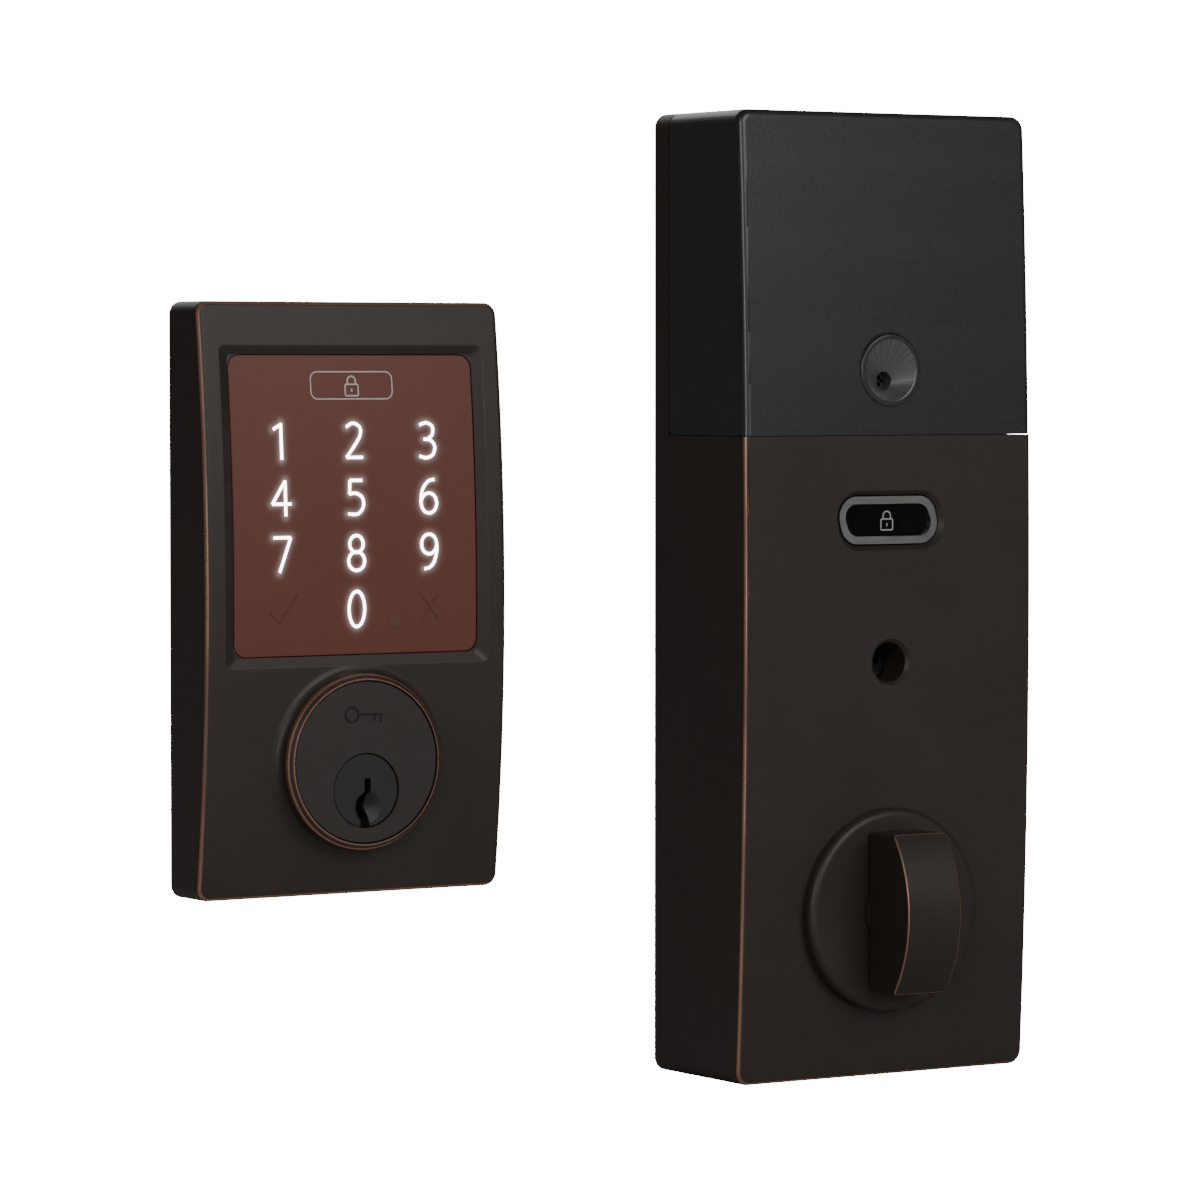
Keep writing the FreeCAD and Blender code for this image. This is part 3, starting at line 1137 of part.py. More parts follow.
def gearbox_posts():
    posts = []
    for x, z in GEARBOX_POSTS:
        posts.append(joined([
            rod(x, z, 2.2, (FRONT_PLATE_Y[0] - 1.0, FRONT_PLATE_Y[0])),
            rod(x, z, GEARBOX_NECK_R, FRONT_PLATE_Y),
            rod(x, z, GEARBOX_POST_R, (FRONT_PLATE_Y[1], REAR_PLATE_Y[0])),
            rod(x, z, GEARBOX_NECK_R, REAR_PLATE_Y),
            rod(x, z, GEARBOX_FOOT_R, (REAR_PLATE_Y[1], -SUPPORT_T))]))
    return posts


def hub_bushing():
    collar = rod(0.0, 0.0, BUSHING_R + 1.5, (-SUPPORT_T - 1.2, -SUPPORT_T))
    sleeve = rod(0.0, 0.0, BUSHING_R, (-SUPPORT_T, 0.0))
    return joined([collar, sleeve]).cut(rod(0.0, 0.0, HUB_R + HUB_RUN, (-5.0, 1.0)))


def support_plate():
    """Steel plate bolted to the door; everything inside hangs on it."""
    y = (-SUPPORT_T, 0.0)
    cut_y = grown(y, 1.0)
    plate = rounded_plate((-SUPPORT_HALF_W, SUPPORT_HALF_W), y, SUPPORT_Z, 2.0)
    boss = rod(0.0, ACCESS_Z, FIX_BOSS_R, (ACCESS_SEAT_Y + SEAT_T, -SUPPORT_T))
    plate = joined([plate, boss])
    plate = plate.cut(rod(0.0, ACCESS_Z, FIX_SCREW_R, (ACCESS_SEAT_Y, 1.0)))
    plate = plate.cut(rod(0.0, 0.0, BUSHING_R, cut_y))
    for side in (-1, 1):
        plate = plate.cut(rod(side * POST_SPACING / 2, 0.0, BOLT_HOLE_R, cut_y))
    for x, z in TOP_SCREWS:
        plate = plate.cut(rod(x, z, TOP_SCREW_R, cut_y))
    slot = rounded_plate((-CABLE_SLOT_HALF_W, CABLE_SLOT_HALF_W), cut_y, CABLE_SLOT_Z, 2.0)
    return plate.cut(slot)


def middle_fixing_screw():
    head_y = (ACCESS_SEAT_Y - FIX_HEAD_H, ACCESS_SEAT_Y)
    screw = joined([rod(0.0, ACCESS_Z, FIX_HEAD_R, head_y),
                    rod(0.0, ACCESS_Z, FIX_SCREW_R, (ACCESS_SEAT_Y, -SUPPORT_T))])
    return screw.cut(cross_recess(0.0, ACCESS_Z, head_y[0], 4.8, 1.4))


def top_fixing_screws():
    screws = []
    for x, z in TOP_SCREWS:
        head_y = (TRAY_FLOOR_Y[0] - 1.4, TRAY_FLOOR_Y[0])
        screw = joined([rod(x, z, TOP_HEAD_R, head_y), rod(x, z, TOP_SCREW_R, (head_y[1], -0.2))])
        screws.append(screw.cut(cross_recess(x, z, head_y[0], 2.6, 0.8)))
    return screws


def control_board():
    board = rounded_plate((-CONTROL_HALF_W, CONTROL_HALF_W), CONTROL_Y, CONTROL_Z, 1.5)
    for x, z in CONTROL_POSTS:
        board = board.cut(rod(x, z, M2_R, grown(CONTROL_Y, 1.0)))
    return board


def control_board_chips():
    """Processor, motor driver, two capacitors and a row of small parts on the board's front."""
    y = CONTROL_Y[0]
    low = CONTROL_Z[0]
    chips = [box((-8.0, 2.0), (y - 1.2, y), (low + 8.0, low + 17.0)),
             box((-22.0, -16.0), (y - 1.5, y), (low + 8.0, low + 13.0))]
    chips += [rod(x, low + 33.0, 2.5, (y - 6.0, y)) for x in (12.0, 19.0)]
    chips += [box((-24.0 + 3.0 * i, -22.4 + 3.0 * i), (y - 0.8, y), (low + 3.0, low + 3.8))
              for i in range(6)]
    return chips


def radio_module():
    """Small radio board with its shield can and a bare aerial strip."""
    y = CONTROL_Y[0]
    low = CONTROL_Z[0] + 20.0
    board = box((-22.0, -9.5), (y - 0.8, y), (low, low + 17.0))
    can = box((-21.3, -10.2), (y - 2.8, y - 0.8), (low + 0.7, low + 11.5))
    aerial = [box((-21.0 + 2.6 * i, -19.6 + 2.6 * i), (y - 1.0, y - 0.8), (low + 12.5, low + 16.0))
              for i in range(4)]
    return joined([board, can] + aerial)


def tact_switch():
    half = 3.0
    body = box((-half, half), SWITCH_Y, (BUTTON_Z - half, BUTTON_Z + half))
    return joined([body, rod(0.0, BUTTON_Z, 1.7, (SWITCH_Y[0] - 0.8, SWITCH_Y[0]))])


def cable_socket():
    x = (5.0, 17.0)
    y = (CONTROL_Y[0] - 4.0, CONTROL_Y[0])
    z = (CONTROL_Z[0] + 0.5, CONTROL_Z[0] + 6.0)
    socket = box(x, y, z).cut(box(grown(x, -0.8), grown(y, -0.9), (z[0] - 1.0, z[1] - 0.8)))
    pins = [box((x[0] + 2.0 + 2.0 * i, x[0] + 2.6 + 2.0 * i), (y[0] + 1.7, y[0] + 2.3),
                (z[0] + 0.6, z[1] - 0.4)) for i in range(5)]
    return joined([socket] + pins)


def control_board_standoffs():
    """Posts under the board, each with its screw head on top."""
    posts = []
    for x, z in CONTROL_POSTS:
        posts.append(joined([rod(x, z, CONTROL_POST_R, (CONTROL_Y[1], -SUPPORT_T)),
                             rod(x, z, M2_R, CONTROL_Y),
                             rod(x, z, M2_HEAD_R, (CONTROL_Y[0] - M2_HEAD_H, CONTROL_Y[0]))]))
    return posts


def siren():
    x, z = 19.5, CONTROL_Z[0] + 19.0
    y = (CONTROL_Y[0] - 9.0, CONTROL_Y[0])
    can = rod(x, z, 9.5, y)
    rim = [edge for edge in can.Edges if abs(edge.CenterOfMass.y - y[0]) < 1e-4]
    return can.makeFillet(1.0, rim).cut(rod(x, z, 1.5, (y[0] - 1.0, y[0] + 3.0)))


def position_switch():
    """Switch under the drive gear that reports where the thumbturn stands."""
    top = -(DRIVE_TEETH * DRIVE_MODULE / 2 + 5.5)
    body = box((-6.4, 6.4), (DRIVE_GEAR_Y[0], DRIVE_GEAR_Y[0] + 6.0), (top - 6.6, top))
    feeler = box((-0.8, 0.8), (DRIVE_GEAR_Y[0] + 1.4, DRIVE_GEAR_Y[0] + 2.6), (top, top + 3.8))
    feet = [rod(x, top - 3.3, 1.2, (DRIVE_GEAR_Y[0] + 6.0, -SUPPORT_T)) for x in (-3.6, 3.6)]
    return joined([body, feeler] + feet)


def button_ring():
    y = (BUTTON_FRONT_Y, RING_BACK_Y)
    return button_outline(0.0, y).cut(button_outline(-BUTTON_RING_W, grown(y, 1.0)))


def button_face():
    core = button_outline(-BUTTON_RING_W, (BUTTON_FRONT_Y + FACE_SET_BACK, RING_BACK_Y + 0.5))
    flange = button_outline(BUTTON_FLANGE, (RING_BACK_Y, RING_BACK_Y + BUTTON_FLANGE_T))
    stem_end = SWITCH_Y[0] - 0.8 - BUTTON_TRAVEL - 0.1
    stem = rod(0.0, BUTTON_Z, BUTTON_STEM_R, (RING_BACK_Y, stem_end))
    return joined([core, flange, stem])


def button_spring():
    """Return spring from the board to the button's flange, round the switch."""
    foot = CONTROL_Y[0] - 0.02
    height = foot - (RING_BACK_Y + BUTTON_FLANGE_T) - 0.02
    spring = coil_spring(0.0, 0.0, 0.0, 4.7, 0.3, 6, height)
    spring.rotate(Vector(0, 0, 0), Vector(1, 0, 0), 90)
    spring.translate(Vector(0, foot, BUTTON_Z))
    return spring


AA_X = [AA_PITCH * (i - (AA_COUNT - 1) / 2) for i in range(AA_COUNT)]
CELL_Z = (BAY_Z[0] + BAY_WALL + SPRING_SPACE / 2,
          BAY_Z[0] + BAY_WALL + SPRING_SPACE / 2 + AA_BODY_L + AA_NUB_L)
BAY_FLOOR_Y = (AA_AXIS_Y + AA_R + 0.2, AA_AXIS_Y + AA_R + 1.6)


def battery_tray():
    """Open-fronted tray with ribs between the cells; it stands on the body's floor."""
    x = (-BAY_HALF_W - BAY_WALL, BAY_HALF_W + BAY_WALL)
    outer = rounded_plate(x, (BAY_FRONT_Y, TRAY_FLOOR_Y[0]), BAY_Z, 1.2)
    inner_x = (-BAY_HALF_W, BAY_HALF_W)
    inner_z = grown(BAY_Z, -BAY_WALL)
    tray = outer.cut(box(inner_x, (BAY_FRONT_Y - 1.0, BAY_FLOOR_Y[0]), inner_z))
    tray = tray.cut(box(inner_x, (BAY_FLOOR_Y[1], 0.0), inner_z))
    ribs = [box((x - 0.6, x + 0.6), (BAY_FLOOR_Y[0] - 4.0, BAY_FLOOR_Y[0]), (BAY_Z[0], BAY_Z[1]))
            for x in (-AA_PITCH, 0.0, AA_PITCH)]
    return joined([tray] + ribs)


def aa_cells():
    """Four cells, alternately nub up and nub down."""
    cells = []
    for i, x in enumerate(AA_X):
        body_z = CELL_Z[0] if i % 2 == 0 else CELL_Z[0] + AA_NUB_L
        nub_z = CELL_Z[0] + AA_BODY_L if i % 2 == 0 else CELL_Z[0]
        body = upright(x, AA_AXIS_Y, AA_R, (body_z, body_z + AA_BODY_L))
        ends = [edge for edge in body.Edges if edge.BoundBox.ZLength < 1e-4]
        body = body.makeFillet(0.6, ends)
        cells.append(joined([body, upright(x, AA_AXIS_Y, AA_NUB_R, (nub_z, nub_z + AA_NUB_L))]))
    return cells


def battery_contacts():
    """Nickelled strips at both ends of the bay, where the nubs touch."""
    strips = []
    for i, x in enumerate(AA_X):
        at = CELL_Z[1] if i % 2 == 0 else BAY_Z[0] + BAY_WALL
        strips.append(box((x - 4.5, x + 4.5), (AA_AXIS_Y - 4.0, AA_AXIS_Y + 4.0),
                          (at, at + SPRING_SPACE / 2)))
    return strips


def contact_springs():
    """Short springs that press on the flat end of each cell."""
    springs = []
    for i, x in enumerate(AA_X):
        at = BAY_Z[0] + BAY_WALL if i % 2 == 0 else CELL_Z[1]
        springs.append(coil_spring(x, AA_AXIS_Y, at + 0.01, 3.4, 0.15, 2, SPRING_SPACE / 2 - 0.02))
    return springs


export("interior_housing", interior_housing())
export("battery_cover", battery_cover())
export("cover_screw", cover_screw())
export("thumbturn_rose", thumbturn_rose())
export("thumbturn", thumbturn())
export("spindle_hub", spindle_hub())
export("hub_screw", hub_screw())
export("drive_gear", drive_gear())
export("reduction_gear_a", reduction_gear_a())
export("reduction_gear_b", reduction_gear_b())
export("motor_pinion", motor_pinion())
export("motor_can", motor_can())
export("gear_axles", gear_axles())
export("gearbox_front_plate", gearbox_front_plate())
export("gearbox_rear_plate", gearbox_rear_plate())
export("gearbox_posts", gearbox_posts())
export("hub_bushing", hub_bushing())
export("support_plate", support_plate())
export("middle_fixing_screw", middle_fixing_screw())
export("top_fixing_screws", top_fixing_screws())
export("control_board", control_board())
export("control_board_chips", control_board_chips())
export("radio_module", radio_module())
export("tact_switch", tact_switch())
export("cable_socket", cable_socket())
export("control_board_standoffs", control_board_standoffs())
export("siren", siren())
export("position_switch", position_switch())
export("button_ring", button_ring())
export("button_face", button_face())
export("button_spring", button_spring())
export("battery_tray", battery_tray())
export("aa_cells", aa_cells())
export("battery_contacts", battery_contacts())
export("contact_springs", contact_springs())
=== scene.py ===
import bpy
import math
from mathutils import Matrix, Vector


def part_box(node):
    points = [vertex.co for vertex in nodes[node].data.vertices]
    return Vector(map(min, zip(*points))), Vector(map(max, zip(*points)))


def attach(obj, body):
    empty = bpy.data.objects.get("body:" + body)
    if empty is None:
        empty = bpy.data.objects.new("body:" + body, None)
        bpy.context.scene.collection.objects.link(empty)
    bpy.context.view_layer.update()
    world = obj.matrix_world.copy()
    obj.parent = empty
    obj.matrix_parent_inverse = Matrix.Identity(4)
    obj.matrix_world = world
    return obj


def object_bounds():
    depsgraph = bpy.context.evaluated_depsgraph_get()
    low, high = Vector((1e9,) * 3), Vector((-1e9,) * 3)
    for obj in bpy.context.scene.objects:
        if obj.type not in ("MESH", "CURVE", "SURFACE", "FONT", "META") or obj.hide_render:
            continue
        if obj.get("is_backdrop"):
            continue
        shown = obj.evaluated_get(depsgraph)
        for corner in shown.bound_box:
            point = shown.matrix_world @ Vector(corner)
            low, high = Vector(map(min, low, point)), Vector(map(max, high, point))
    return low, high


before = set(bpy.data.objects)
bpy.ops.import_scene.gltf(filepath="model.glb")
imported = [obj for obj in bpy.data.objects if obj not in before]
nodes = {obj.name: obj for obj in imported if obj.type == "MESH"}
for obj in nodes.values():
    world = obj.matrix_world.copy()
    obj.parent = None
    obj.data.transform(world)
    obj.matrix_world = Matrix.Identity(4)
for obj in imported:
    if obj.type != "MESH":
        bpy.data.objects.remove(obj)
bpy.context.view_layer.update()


# ---- Outside case -------------------------------------------------------------------
# A zinc die casting in a dark bronze finish, rubbed through to copper where hands and keys
# catch its edges. Its window and its cylinder ring are part of the casting.

def add(tree, kind, **settings):
    """One shader node with some of its settings."""
    made = tree.nodes.new(kind)
    for name, value in settings.items():
        setattr(made, name, value)
    return made


def feed(tree, socket, value):
    """Joins a socket to another one, or sets it to a plain value."""
    if isinstance(value, bpy.types.NodeSocket):
        tree.links.new(value, socket)
    else:
        socket.default_value = value


def calc(tree, operation, a, b=0.0, clamp=False):
    """One sum on sockets or plain values."""
    step = add(tree, "ShaderNodeMath", operation=operation, use_clamp=clamp)
    feed(tree, step.inputs[0], a)
    feed(tree, step.inputs[1], b)
    return step.outputs[0]


def fade(tree, value, low, high, end_low=0.0, end_high=1.0):
    """Smooth step from end_low at low to end_high at high."""
    step = add(tree, "ShaderNodeMapRange", interpolation_type="SMOOTHSTEP")
    feed(tree, step.inputs["Value"], value)
    step.inputs["From Min"].default_value = low
    step.inputs["From Max"].default_value = high
    step.inputs["To Min"].default_value = end_low
    step.inputs["To Max"].default_value = end_high
    return step.outputs["Result"]


def grain(tree, scale, detail=3.0, stretch=(1.0, 1.0, 1.0)):
    """Noise fixed to the piece; scale is in cycles per metre."""
    place = add(tree, "ShaderNodeTexCoord")
    size = add(tree, "ShaderNodeMapping")
    size.inputs["Scale"].default_value = stretch
    noise = add(tree, "ShaderNodeTexNoise")
    noise.inputs["Scale"].default_value = scale
    noise.inputs["Detail"].default_value = detail
    tree.links.new(place.outputs["Object"], size.inputs["Vector"])
    tree.links.new(size.outputs["Vector"], noise.inputs["Vector"])
    return noise.outputs["Fac"]


def position(tree):
    """Where a point of the piece is, in metres in the shared frame at rest."""
    place = add(tree, "ShaderNodeTexCoord")
    parts = add(tree, "ShaderNodeSeparateXYZ")
    tree.links.new(place.outputs["Object"], parts.inputs["Vector"])
    return parts.outputs["X"], parts.outputs["Y"], parts.outputs["Z"]


def blend_colour(tree, share, first, second):
    """Colour that goes from first to second as share goes from 0 to 1."""
    mix = add(tree, "ShaderNodeMix", data_type="RGBA")
    feed(tree, mix.inputs["Factor"], share)
    for socket, colour in ((mix.inputs[6], first), (mix.inputs[7], second)):
        feed(tree, socket, colour if isinstance(colour, bpy.types.NodeSocket) else (*colour, 1.0))
    return mix.outputs[2]


def roughen(tree, shader, height, depth, strength=0.5):
    """Bump of a given depth in metres."""
    bump = add(tree, "ShaderNodeBump")
    bump.inputs["Strength"].default_value = strength
    bump.inputs["Distance"].default_value = depth
    tree.links.new(height, bump.inputs["Height"])
    tree.links.new(bump.outputs["Normal"], shader.inputs["Normal"])


def finish(name, metallic=0.0, specular=0.5):
    """Empty material, its node tree and its shader."""
    material = bpy.data.materials.new(name)
    material.use_nodes = True
    shader = material.node_tree.nodes["Principled BSDF"]
    shader.inputs["Metallic"].default_value = metallic
    shader.inputs["Specular IOR Level"].default_value = specular
    return material, material.node_tree, shader


def paint(node, material):
    """Gives a carried-over piece its finish."""
    slots = nodes[node].data.materials
    slots.clear()
    slots.append(material)


def off_axis(tree, x, z, centre):
    """Distance from an axis along Y."""
    dx = calc(tree, "SUBTRACT", x, centre[0])
    dz = calc(tree, "SUBTRACT", z, centre[1])
    return calc(tree, "SQRT", calc(tree, "ADD", calc(tree, "MULTIPLY", dx, dx),
                                   calc(tree, "MULTIPLY", dz, dz)))


def band(tree, value, centre, half):
    """1 on the centre value, fading to 0 at half either side."""
    away = calc(tree, "ABSOLUTE", calc(tree, "SUBTRACT", value, centre))
    return fade(tree, away, half * 0.35, half, 1.0, 0.0)


def facing(tree):
    """How squarely the surface faces sideways, forward and upward, each from 0 to 1."""
    place = add(tree, "ShaderNodeTexCoord")
    parts = add(tree, "ShaderNodeSeparateXYZ")
    tree.links.new(place.outputs["Normal"], parts.inputs["Vector"])
    return [calc(tree, "ABSOLUTE", parts.outputs[axis]) for axis in "XYZ"]


BRONZE = (0.0330, 0.0240, 0.0185)
BRONZE_LIGHT = (0.0385, 0.0285, 0.0225)
COPPER = (0.47, 0.245, 0.165)
WEAR_EDGE = 0.62            # the slope of the rim on which the rubbed line runs
WEAR_HALF = 0.30


def bronze(name, wear):
    """Dark satin bronze; wear(tree) says where the copper shows."""
    material, tree, shader = finish(name, metallic=0.0, specular=0.42)
    cloud = grain(tree, 34.0, 4.0)
    dark = blend_colour(tree, fade(tree, cloud, 0.35, 0.68), BRONZE, BRONZE_LIGHT)
    worn = wear(tree)
    feed(tree, shader.inputs["Base Color"], blend_colour(tree, worn, dark, COPPER))
    feed(tree, shader.inputs["Metallic"], calc(tree, "MULTIPLY", worn, 0.7))
    speckle = grain(tree, 2600.0, 2.0)
    rough = fade(tree, speckle, 0.3, 0.7, 0.38, 0.46)
    polish = calc(tree, "MULTIPLY", worn, 0.12)
    feed(tree, shader.inputs["Roughness"], calc(tree, "SUBTRACT", rough, polish))
    roughen(tree, shader, speckle, 0.00002, 0.35)
    return material


RIM_REACH = 0.0017          # how far in from a case's outline its rim is rubbed


def rim_wear(tree, low, high):
    """Rubbed line along the front rim of a case that fills the box from low to high."""
    x, _, z = position(tree)
    sides = calc(tree, "MAXIMUM", calc(tree, "SUBTRACT", low[0] + RIM_REACH, x),
                 calc(tree, "SUBTRACT", x, high[0] - RIM_REACH))
    ends = calc(tree, "MAXIMUM", calc(tree, "SUBTRACT", low[2] + RIM_REACH, z),
                calc(tree, "SUBTRACT", z, high[2] - RIM_REACH))
    near = calc(tree, "GREATER_THAN", calc(tree, "MAXIMUM", sides, ends), 0.0)
    patchy = fade(tree, grain(tree, 26.0, 5.0), 0.30, 0.62, 0.45, 1.0)
    line = band(tree, facing(tree)[1], WEAR_EDGE, WEAR_HALF)
    return calc(tree, "MULTIPLY", calc(tree, "MULTIPLY", line, near), patchy)


case_low, case_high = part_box("keypad_escutcheon")
ring_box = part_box("cylinder_body")
ring_axis = ((ring_box[0][0] + ring_box[1][0]) / 2, (ring_box[0][2] + ring_box[1][2]) / 2)
RING_OUTER = 0.0188         # radii of the two edges of the ring's chamfer
RING_INNER = 0.01775
RING_FRONT = 0.0018         # the chamfer lies this close to the front of the case
RING_FADE = 0.0003
OUTER_RUB = 0.00024         # half widths of the rubbed lines on those edges
INNER_RUB = 0.00020
OUTER_IN = 0.0001           # the outer line runs this far inside its edge


def case_wear(tree):
    """Rim of the case, and both edges of the cylinder ring's chamfer."""
    x, y, z = position(tree)
    radius = off_axis(tree, x, z, ring_axis)
    chamfer_back = case_low[1] + RING_FRONT
    proud = fade(tree, y, chamfer_back, chamfer_back + RING_FADE, 1.0, 0.0)
    outer = band(tree, radius, RING_OUTER - OUTER_IN, OUTER_RUB)
    inner = band(tree, radius, RING_INNER, INNER_RUB)
    edges = calc(tree, "MULTIPLY", calc(tree, "MAXIMUM", outer, inner), proud)
    return calc(tree, "MAXIMUM", edges, rim_wear(tree, case_low, case_high))


paint("keypad_escutcheon", bronze("case_bronze", case_wear))


# ---- Touch screen -------------------------------------------------------------------
# A tinted brown acrylic pane, bowed like the case and held behind its window by a flange.
# White digits shine through the film printed on it, lit by lamps on the board behind.

def lens_front():
    """Foremost Y at each height of the pane that has points, from the bottom up."""
    heights = {}
    for vertex in nodes["touchscreen_lens"].data.vertices:
        height = round(vertex.co.z, 4)
        heights[height] = min(heights.get(height, 1.0), vertex.co.y)
    return sorted(heights.items())


lens_low, lens_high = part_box("touchscreen_lens")
FLANGE = 0.002              # of the pane, behind the case
GAP = 0.00025               # round the pane in its window
pane_x = (lens_low[0] + FLANGE + GAP, lens_high[0] - FLANGE - GAP)
pane_z = (lens_low[2] + FLANGE + GAP, lens_high[2] - FLANGE - GAP)
pane_mid = ((pane_x[0] + pane_x[1]) / 2, (pane_z[0] + pane_z[1]) / 2)
SLACK = 0.0001
bow = [(z, y) for z, y in lens_front() if pane_z[0] - SLACK < z < pane_z[1] + SLACK]


def pane_y(z):
    """Front of the pane at a height, on the curve through its two ends and its middle."""
    z0, y0 = bow[0]
    z2, y2 = bow[-1]
    z1, y1 = min(bow, key=lambda row: abs(row[0] - (z0 + z2) / 2))
    a = (z - z1) * (z - z2) / ((z0 - z1) * (z0 - z2))
    b = (z - z0) * (z - z2) / ((z1 - z0) * (z1 - z2))
    c = (z - z0) * (z - z1) / ((z2 - z0) * (z2 - z1))
    return a * y0 + b * y1 + c * y2


def smooth_path(points, steps=10):
    """Points along a curve that passes through the given ones."""
    if len(points) < 3:
        return points
    padded = [points[0]] + list(points) + [points[-1]]
    path = []
    for p0, p1, p2, p3 in zip(padded, padded[1:], padded[2:], padded[3:]):
        for i in range(steps):
            t = i / steps
            path.append(tuple(0.5 * (2 * b + (c - a) * t + (2 * a - 5 * b + 4 * c - d) * t * t
                                     + (3 * b - a - 3 * c + d) * t ** 3)
                              for a, b, c, d in zip(p0, p1, p2, p3)))
    return path + [points[-1]]


def loop(cx, cz, rx, rz, count=36):
    """Closed ring of points, round or oval."""
    return [(cx + rx * math.cos(math.tau * i / count), cz + rz * math.sin(math.tau * i / count))
            for i in range(count + 1)]


# Strokes of each digit, one unit high and centred on its own middle.
DIGITS = {
    "0": [loop(0.0, 0.0, 0.25, 0.49)],
    "1": [[(-0.19, 0.33), (0.05, 0.47)], [(0.05, 0.5), (0.05, -0.5)]],
    "2": [smooth_path([(-0.23, 0.38), (-0.02, 0.49), (0.20, 0.38), (0.20, 0.14), (-0.02, -0.18),
                       (-0.25, -0.46)]),
          [(-0.25, -0.46), (0.27, -0.46)]],
    "3": [smooth_path([(-0.22, 0.43), (0.0, 0.49), (0.19, 0.38), (0.18, 0.16), (0.02, 0.04), (-0.1, 0.03)]),
          smooth_path([(-0.1, 0.03), (0.12, 0.0), (0.25, -0.18), (0.18, -0.40), (-0.03, -0.49),
                       (-0.25, -0.44)])],
    "4": [[(0.13, -0.5), (0.13, 0.47)], [(0.13, 0.47), (-0.29, -0.17)], [(-0.29, -0.17), (0.31, -0.17)]],
    "5": [[(0.22, 0.46), (-0.17, 0.46)], [(-0.17, 0.46), (-0.19, 0.08)],
          smooth_path([(-0.19, 0.08), (0.02, 0.10), (0.22, -0.03), (0.24, -0.28), (0.06, -0.47),
                       (-0.24, -0.47)])],
    "6": [smooth_path([(0.20, 0.46), (0.0, 0.41), (-0.18, 0.2), (-0.25, -0.1), (-0.24, -0.24)]),
          loop(0.01, -0.2, 0.25, 0.28)],
    "7": [[(-0.27, 0.46), (0.27, 0.46)], [(0.27, 0.46), (-0.09, -0.5)]],
    "8": [loop(0.0, 0.25, 0.215, 0.235), loop(0.0, -0.225, 0.255, 0.26)],
    "9": [loop(-0.01, 0.21, 0.245, 0.275),
          smooth_path([(0.235, 0.22), (0.235, 0.0), (0.14, -0.3), (0.0, -0.44), (-0.17, -0.48)])],
}
DIGIT_H = 0.0077
STROKE_R = 0.00033
COLUMN = 0.0181             # from one column or row of digits to the next
ROW = 0.01198
TOP_MARGIN = 0.01825        # from the pane's top to the middle of its first row
TOP_ROW = pane_z[1] - TOP_MARGIN
LAYOUT = {str(i + 1): (COLUMN * (i % 3 - 1), TOP_ROW - ROW * (i // 3)) for i in range(9)}
LAST_ROW = TOP_ROW - 3 * ROW
LAYOUT["0"] = (0.0, LAST_ROW)
INK = 0.00004               # how far print stands off what it is printed on
INK_FLAT = 0.12             # its strokes are round ones pressed to this share


def stroke_piece(name, strokes, radius, surface, body, material):
    """Strokes printed on a surface; strokes are (x, z) lines and surface(x, z) gives its Y."""
    curve = bpy.data.curves.new(name, "CURVE")
    curve.dimensions = "3D"
    curve.bevel_depth = radius
    curve.bevel_resolution = 3
    curve.use_fill_caps = True
    for stroke in strokes:
        closed = len(stroke) > 3 and math.dist(stroke[0], stroke[-1]) < radius / 4
        points = stroke[:-1] if closed else stroke
        spline = curve.splines.new("POLY")
        spline.points.add(len(points) - 1)
        spline.use_cyclic_u = closed
        for point, (x, z) in zip(spline.points, points):
            point.co = (x, 0.0, z, 1.0)
    drawn = bpy.data.objects.new(name + "_line", curve)
    bpy.context.scene.collection.objects.link(drawn)
    mesh = bpy.data.meshes.new_from_object(drawn.evaluated_get(bpy.context.evaluated_depsgraph_get()))
    bpy.data.objects.remove(drawn)
    mesh.name = name
    for vertex in mesh.vertices:
        vertex.co.y = surface(vertex.co.x, vertex.co.z) - INK + vertex.co.y * INK_FLAT
    mesh.materials.clear()
    mesh.materials.append(material)
    for polygon in mesh.polygons:
        polygon.use_smooth = True
    piece = bpy.data.objects.new(name, mesh)
    bpy.context.scene.collection.objects.link(piece)
    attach(piece, body)


def lit(name, colour, strength):
    """Evenly lit print with a faint mottle of its diffuser."""
    material, tree, shader = finish(name)
    mottle = fade(tree, grain(tree, 900.0, 2.0), 0.2, 0.8, 0.94, 1.0)
    bright = blend_colour(tree, mottle, tuple(0.9 * part for part in colour), colour)
    feed(tree, shader.inputs["Base Color"], bright)
    feed(tree, shader.inputs["Emission Color"], bright)
    shader.inputs["Emission Strength"].default_value = strength
    shader.inputs["Roughness"].default_value = 0.5
    return material


FILM_T = 0.00004


def on_pane(x, z):
    """Front of the film at a point of the pane."""
    return pane_y(z) - FILM_T


LAMP_STEP = 0.0004          # spacing of the points that light spreads from
digit_light = lit("digit_light", (1.0, 1.0, 1.0), 9.0)
lit_points = []
for digit, (across, height) in LAYOUT.items():
    strokes = [[(pane_mid[0] + across + x * DIGIT_H, height + z * DIGIT_H) for x, z in stroke]
               for stroke in DIGITS[digit]]
    stroke_piece("digit_" + digit, strokes, STROKE_R, on_pane, "root", digit_light)
    for stroke in strokes:
        for (x0, z0), (x1, z1) in zip(stroke, stroke[1:]):
            count = max(1, int(math.dist((x0, z0), (x1, z1)) / LAMP_STEP))
            lit_points += [(x0 + (x1 - x0) * i / count, z0 + (z1 - z0) * i / count)
                           for i in range(count + 1)]

# Printed film, laid on the pane: it is bright round the digits, where light spreads in it.
CELL = 0.00028              # mesh size of the film
HALO = 0.0007               # the light past a stroke fades over about this distance
SPREAD = 0.003              # the strokes' points are sorted into squares of this size
CORNER = 0.00275            # radius of the pane's corners
EDGE = 0.00012              # the film stops this short of the pane's edge
columns = int((pane_x[1] - pane_x[0]) / CELL)
rows = int((pane_z[1] - pane_z[0]) / CELL)
buckets = {}
for x, z in lit_points:
    buckets.setdefault((round(x / SPREAD), round(z / SPREAD)), []).append((x, z))


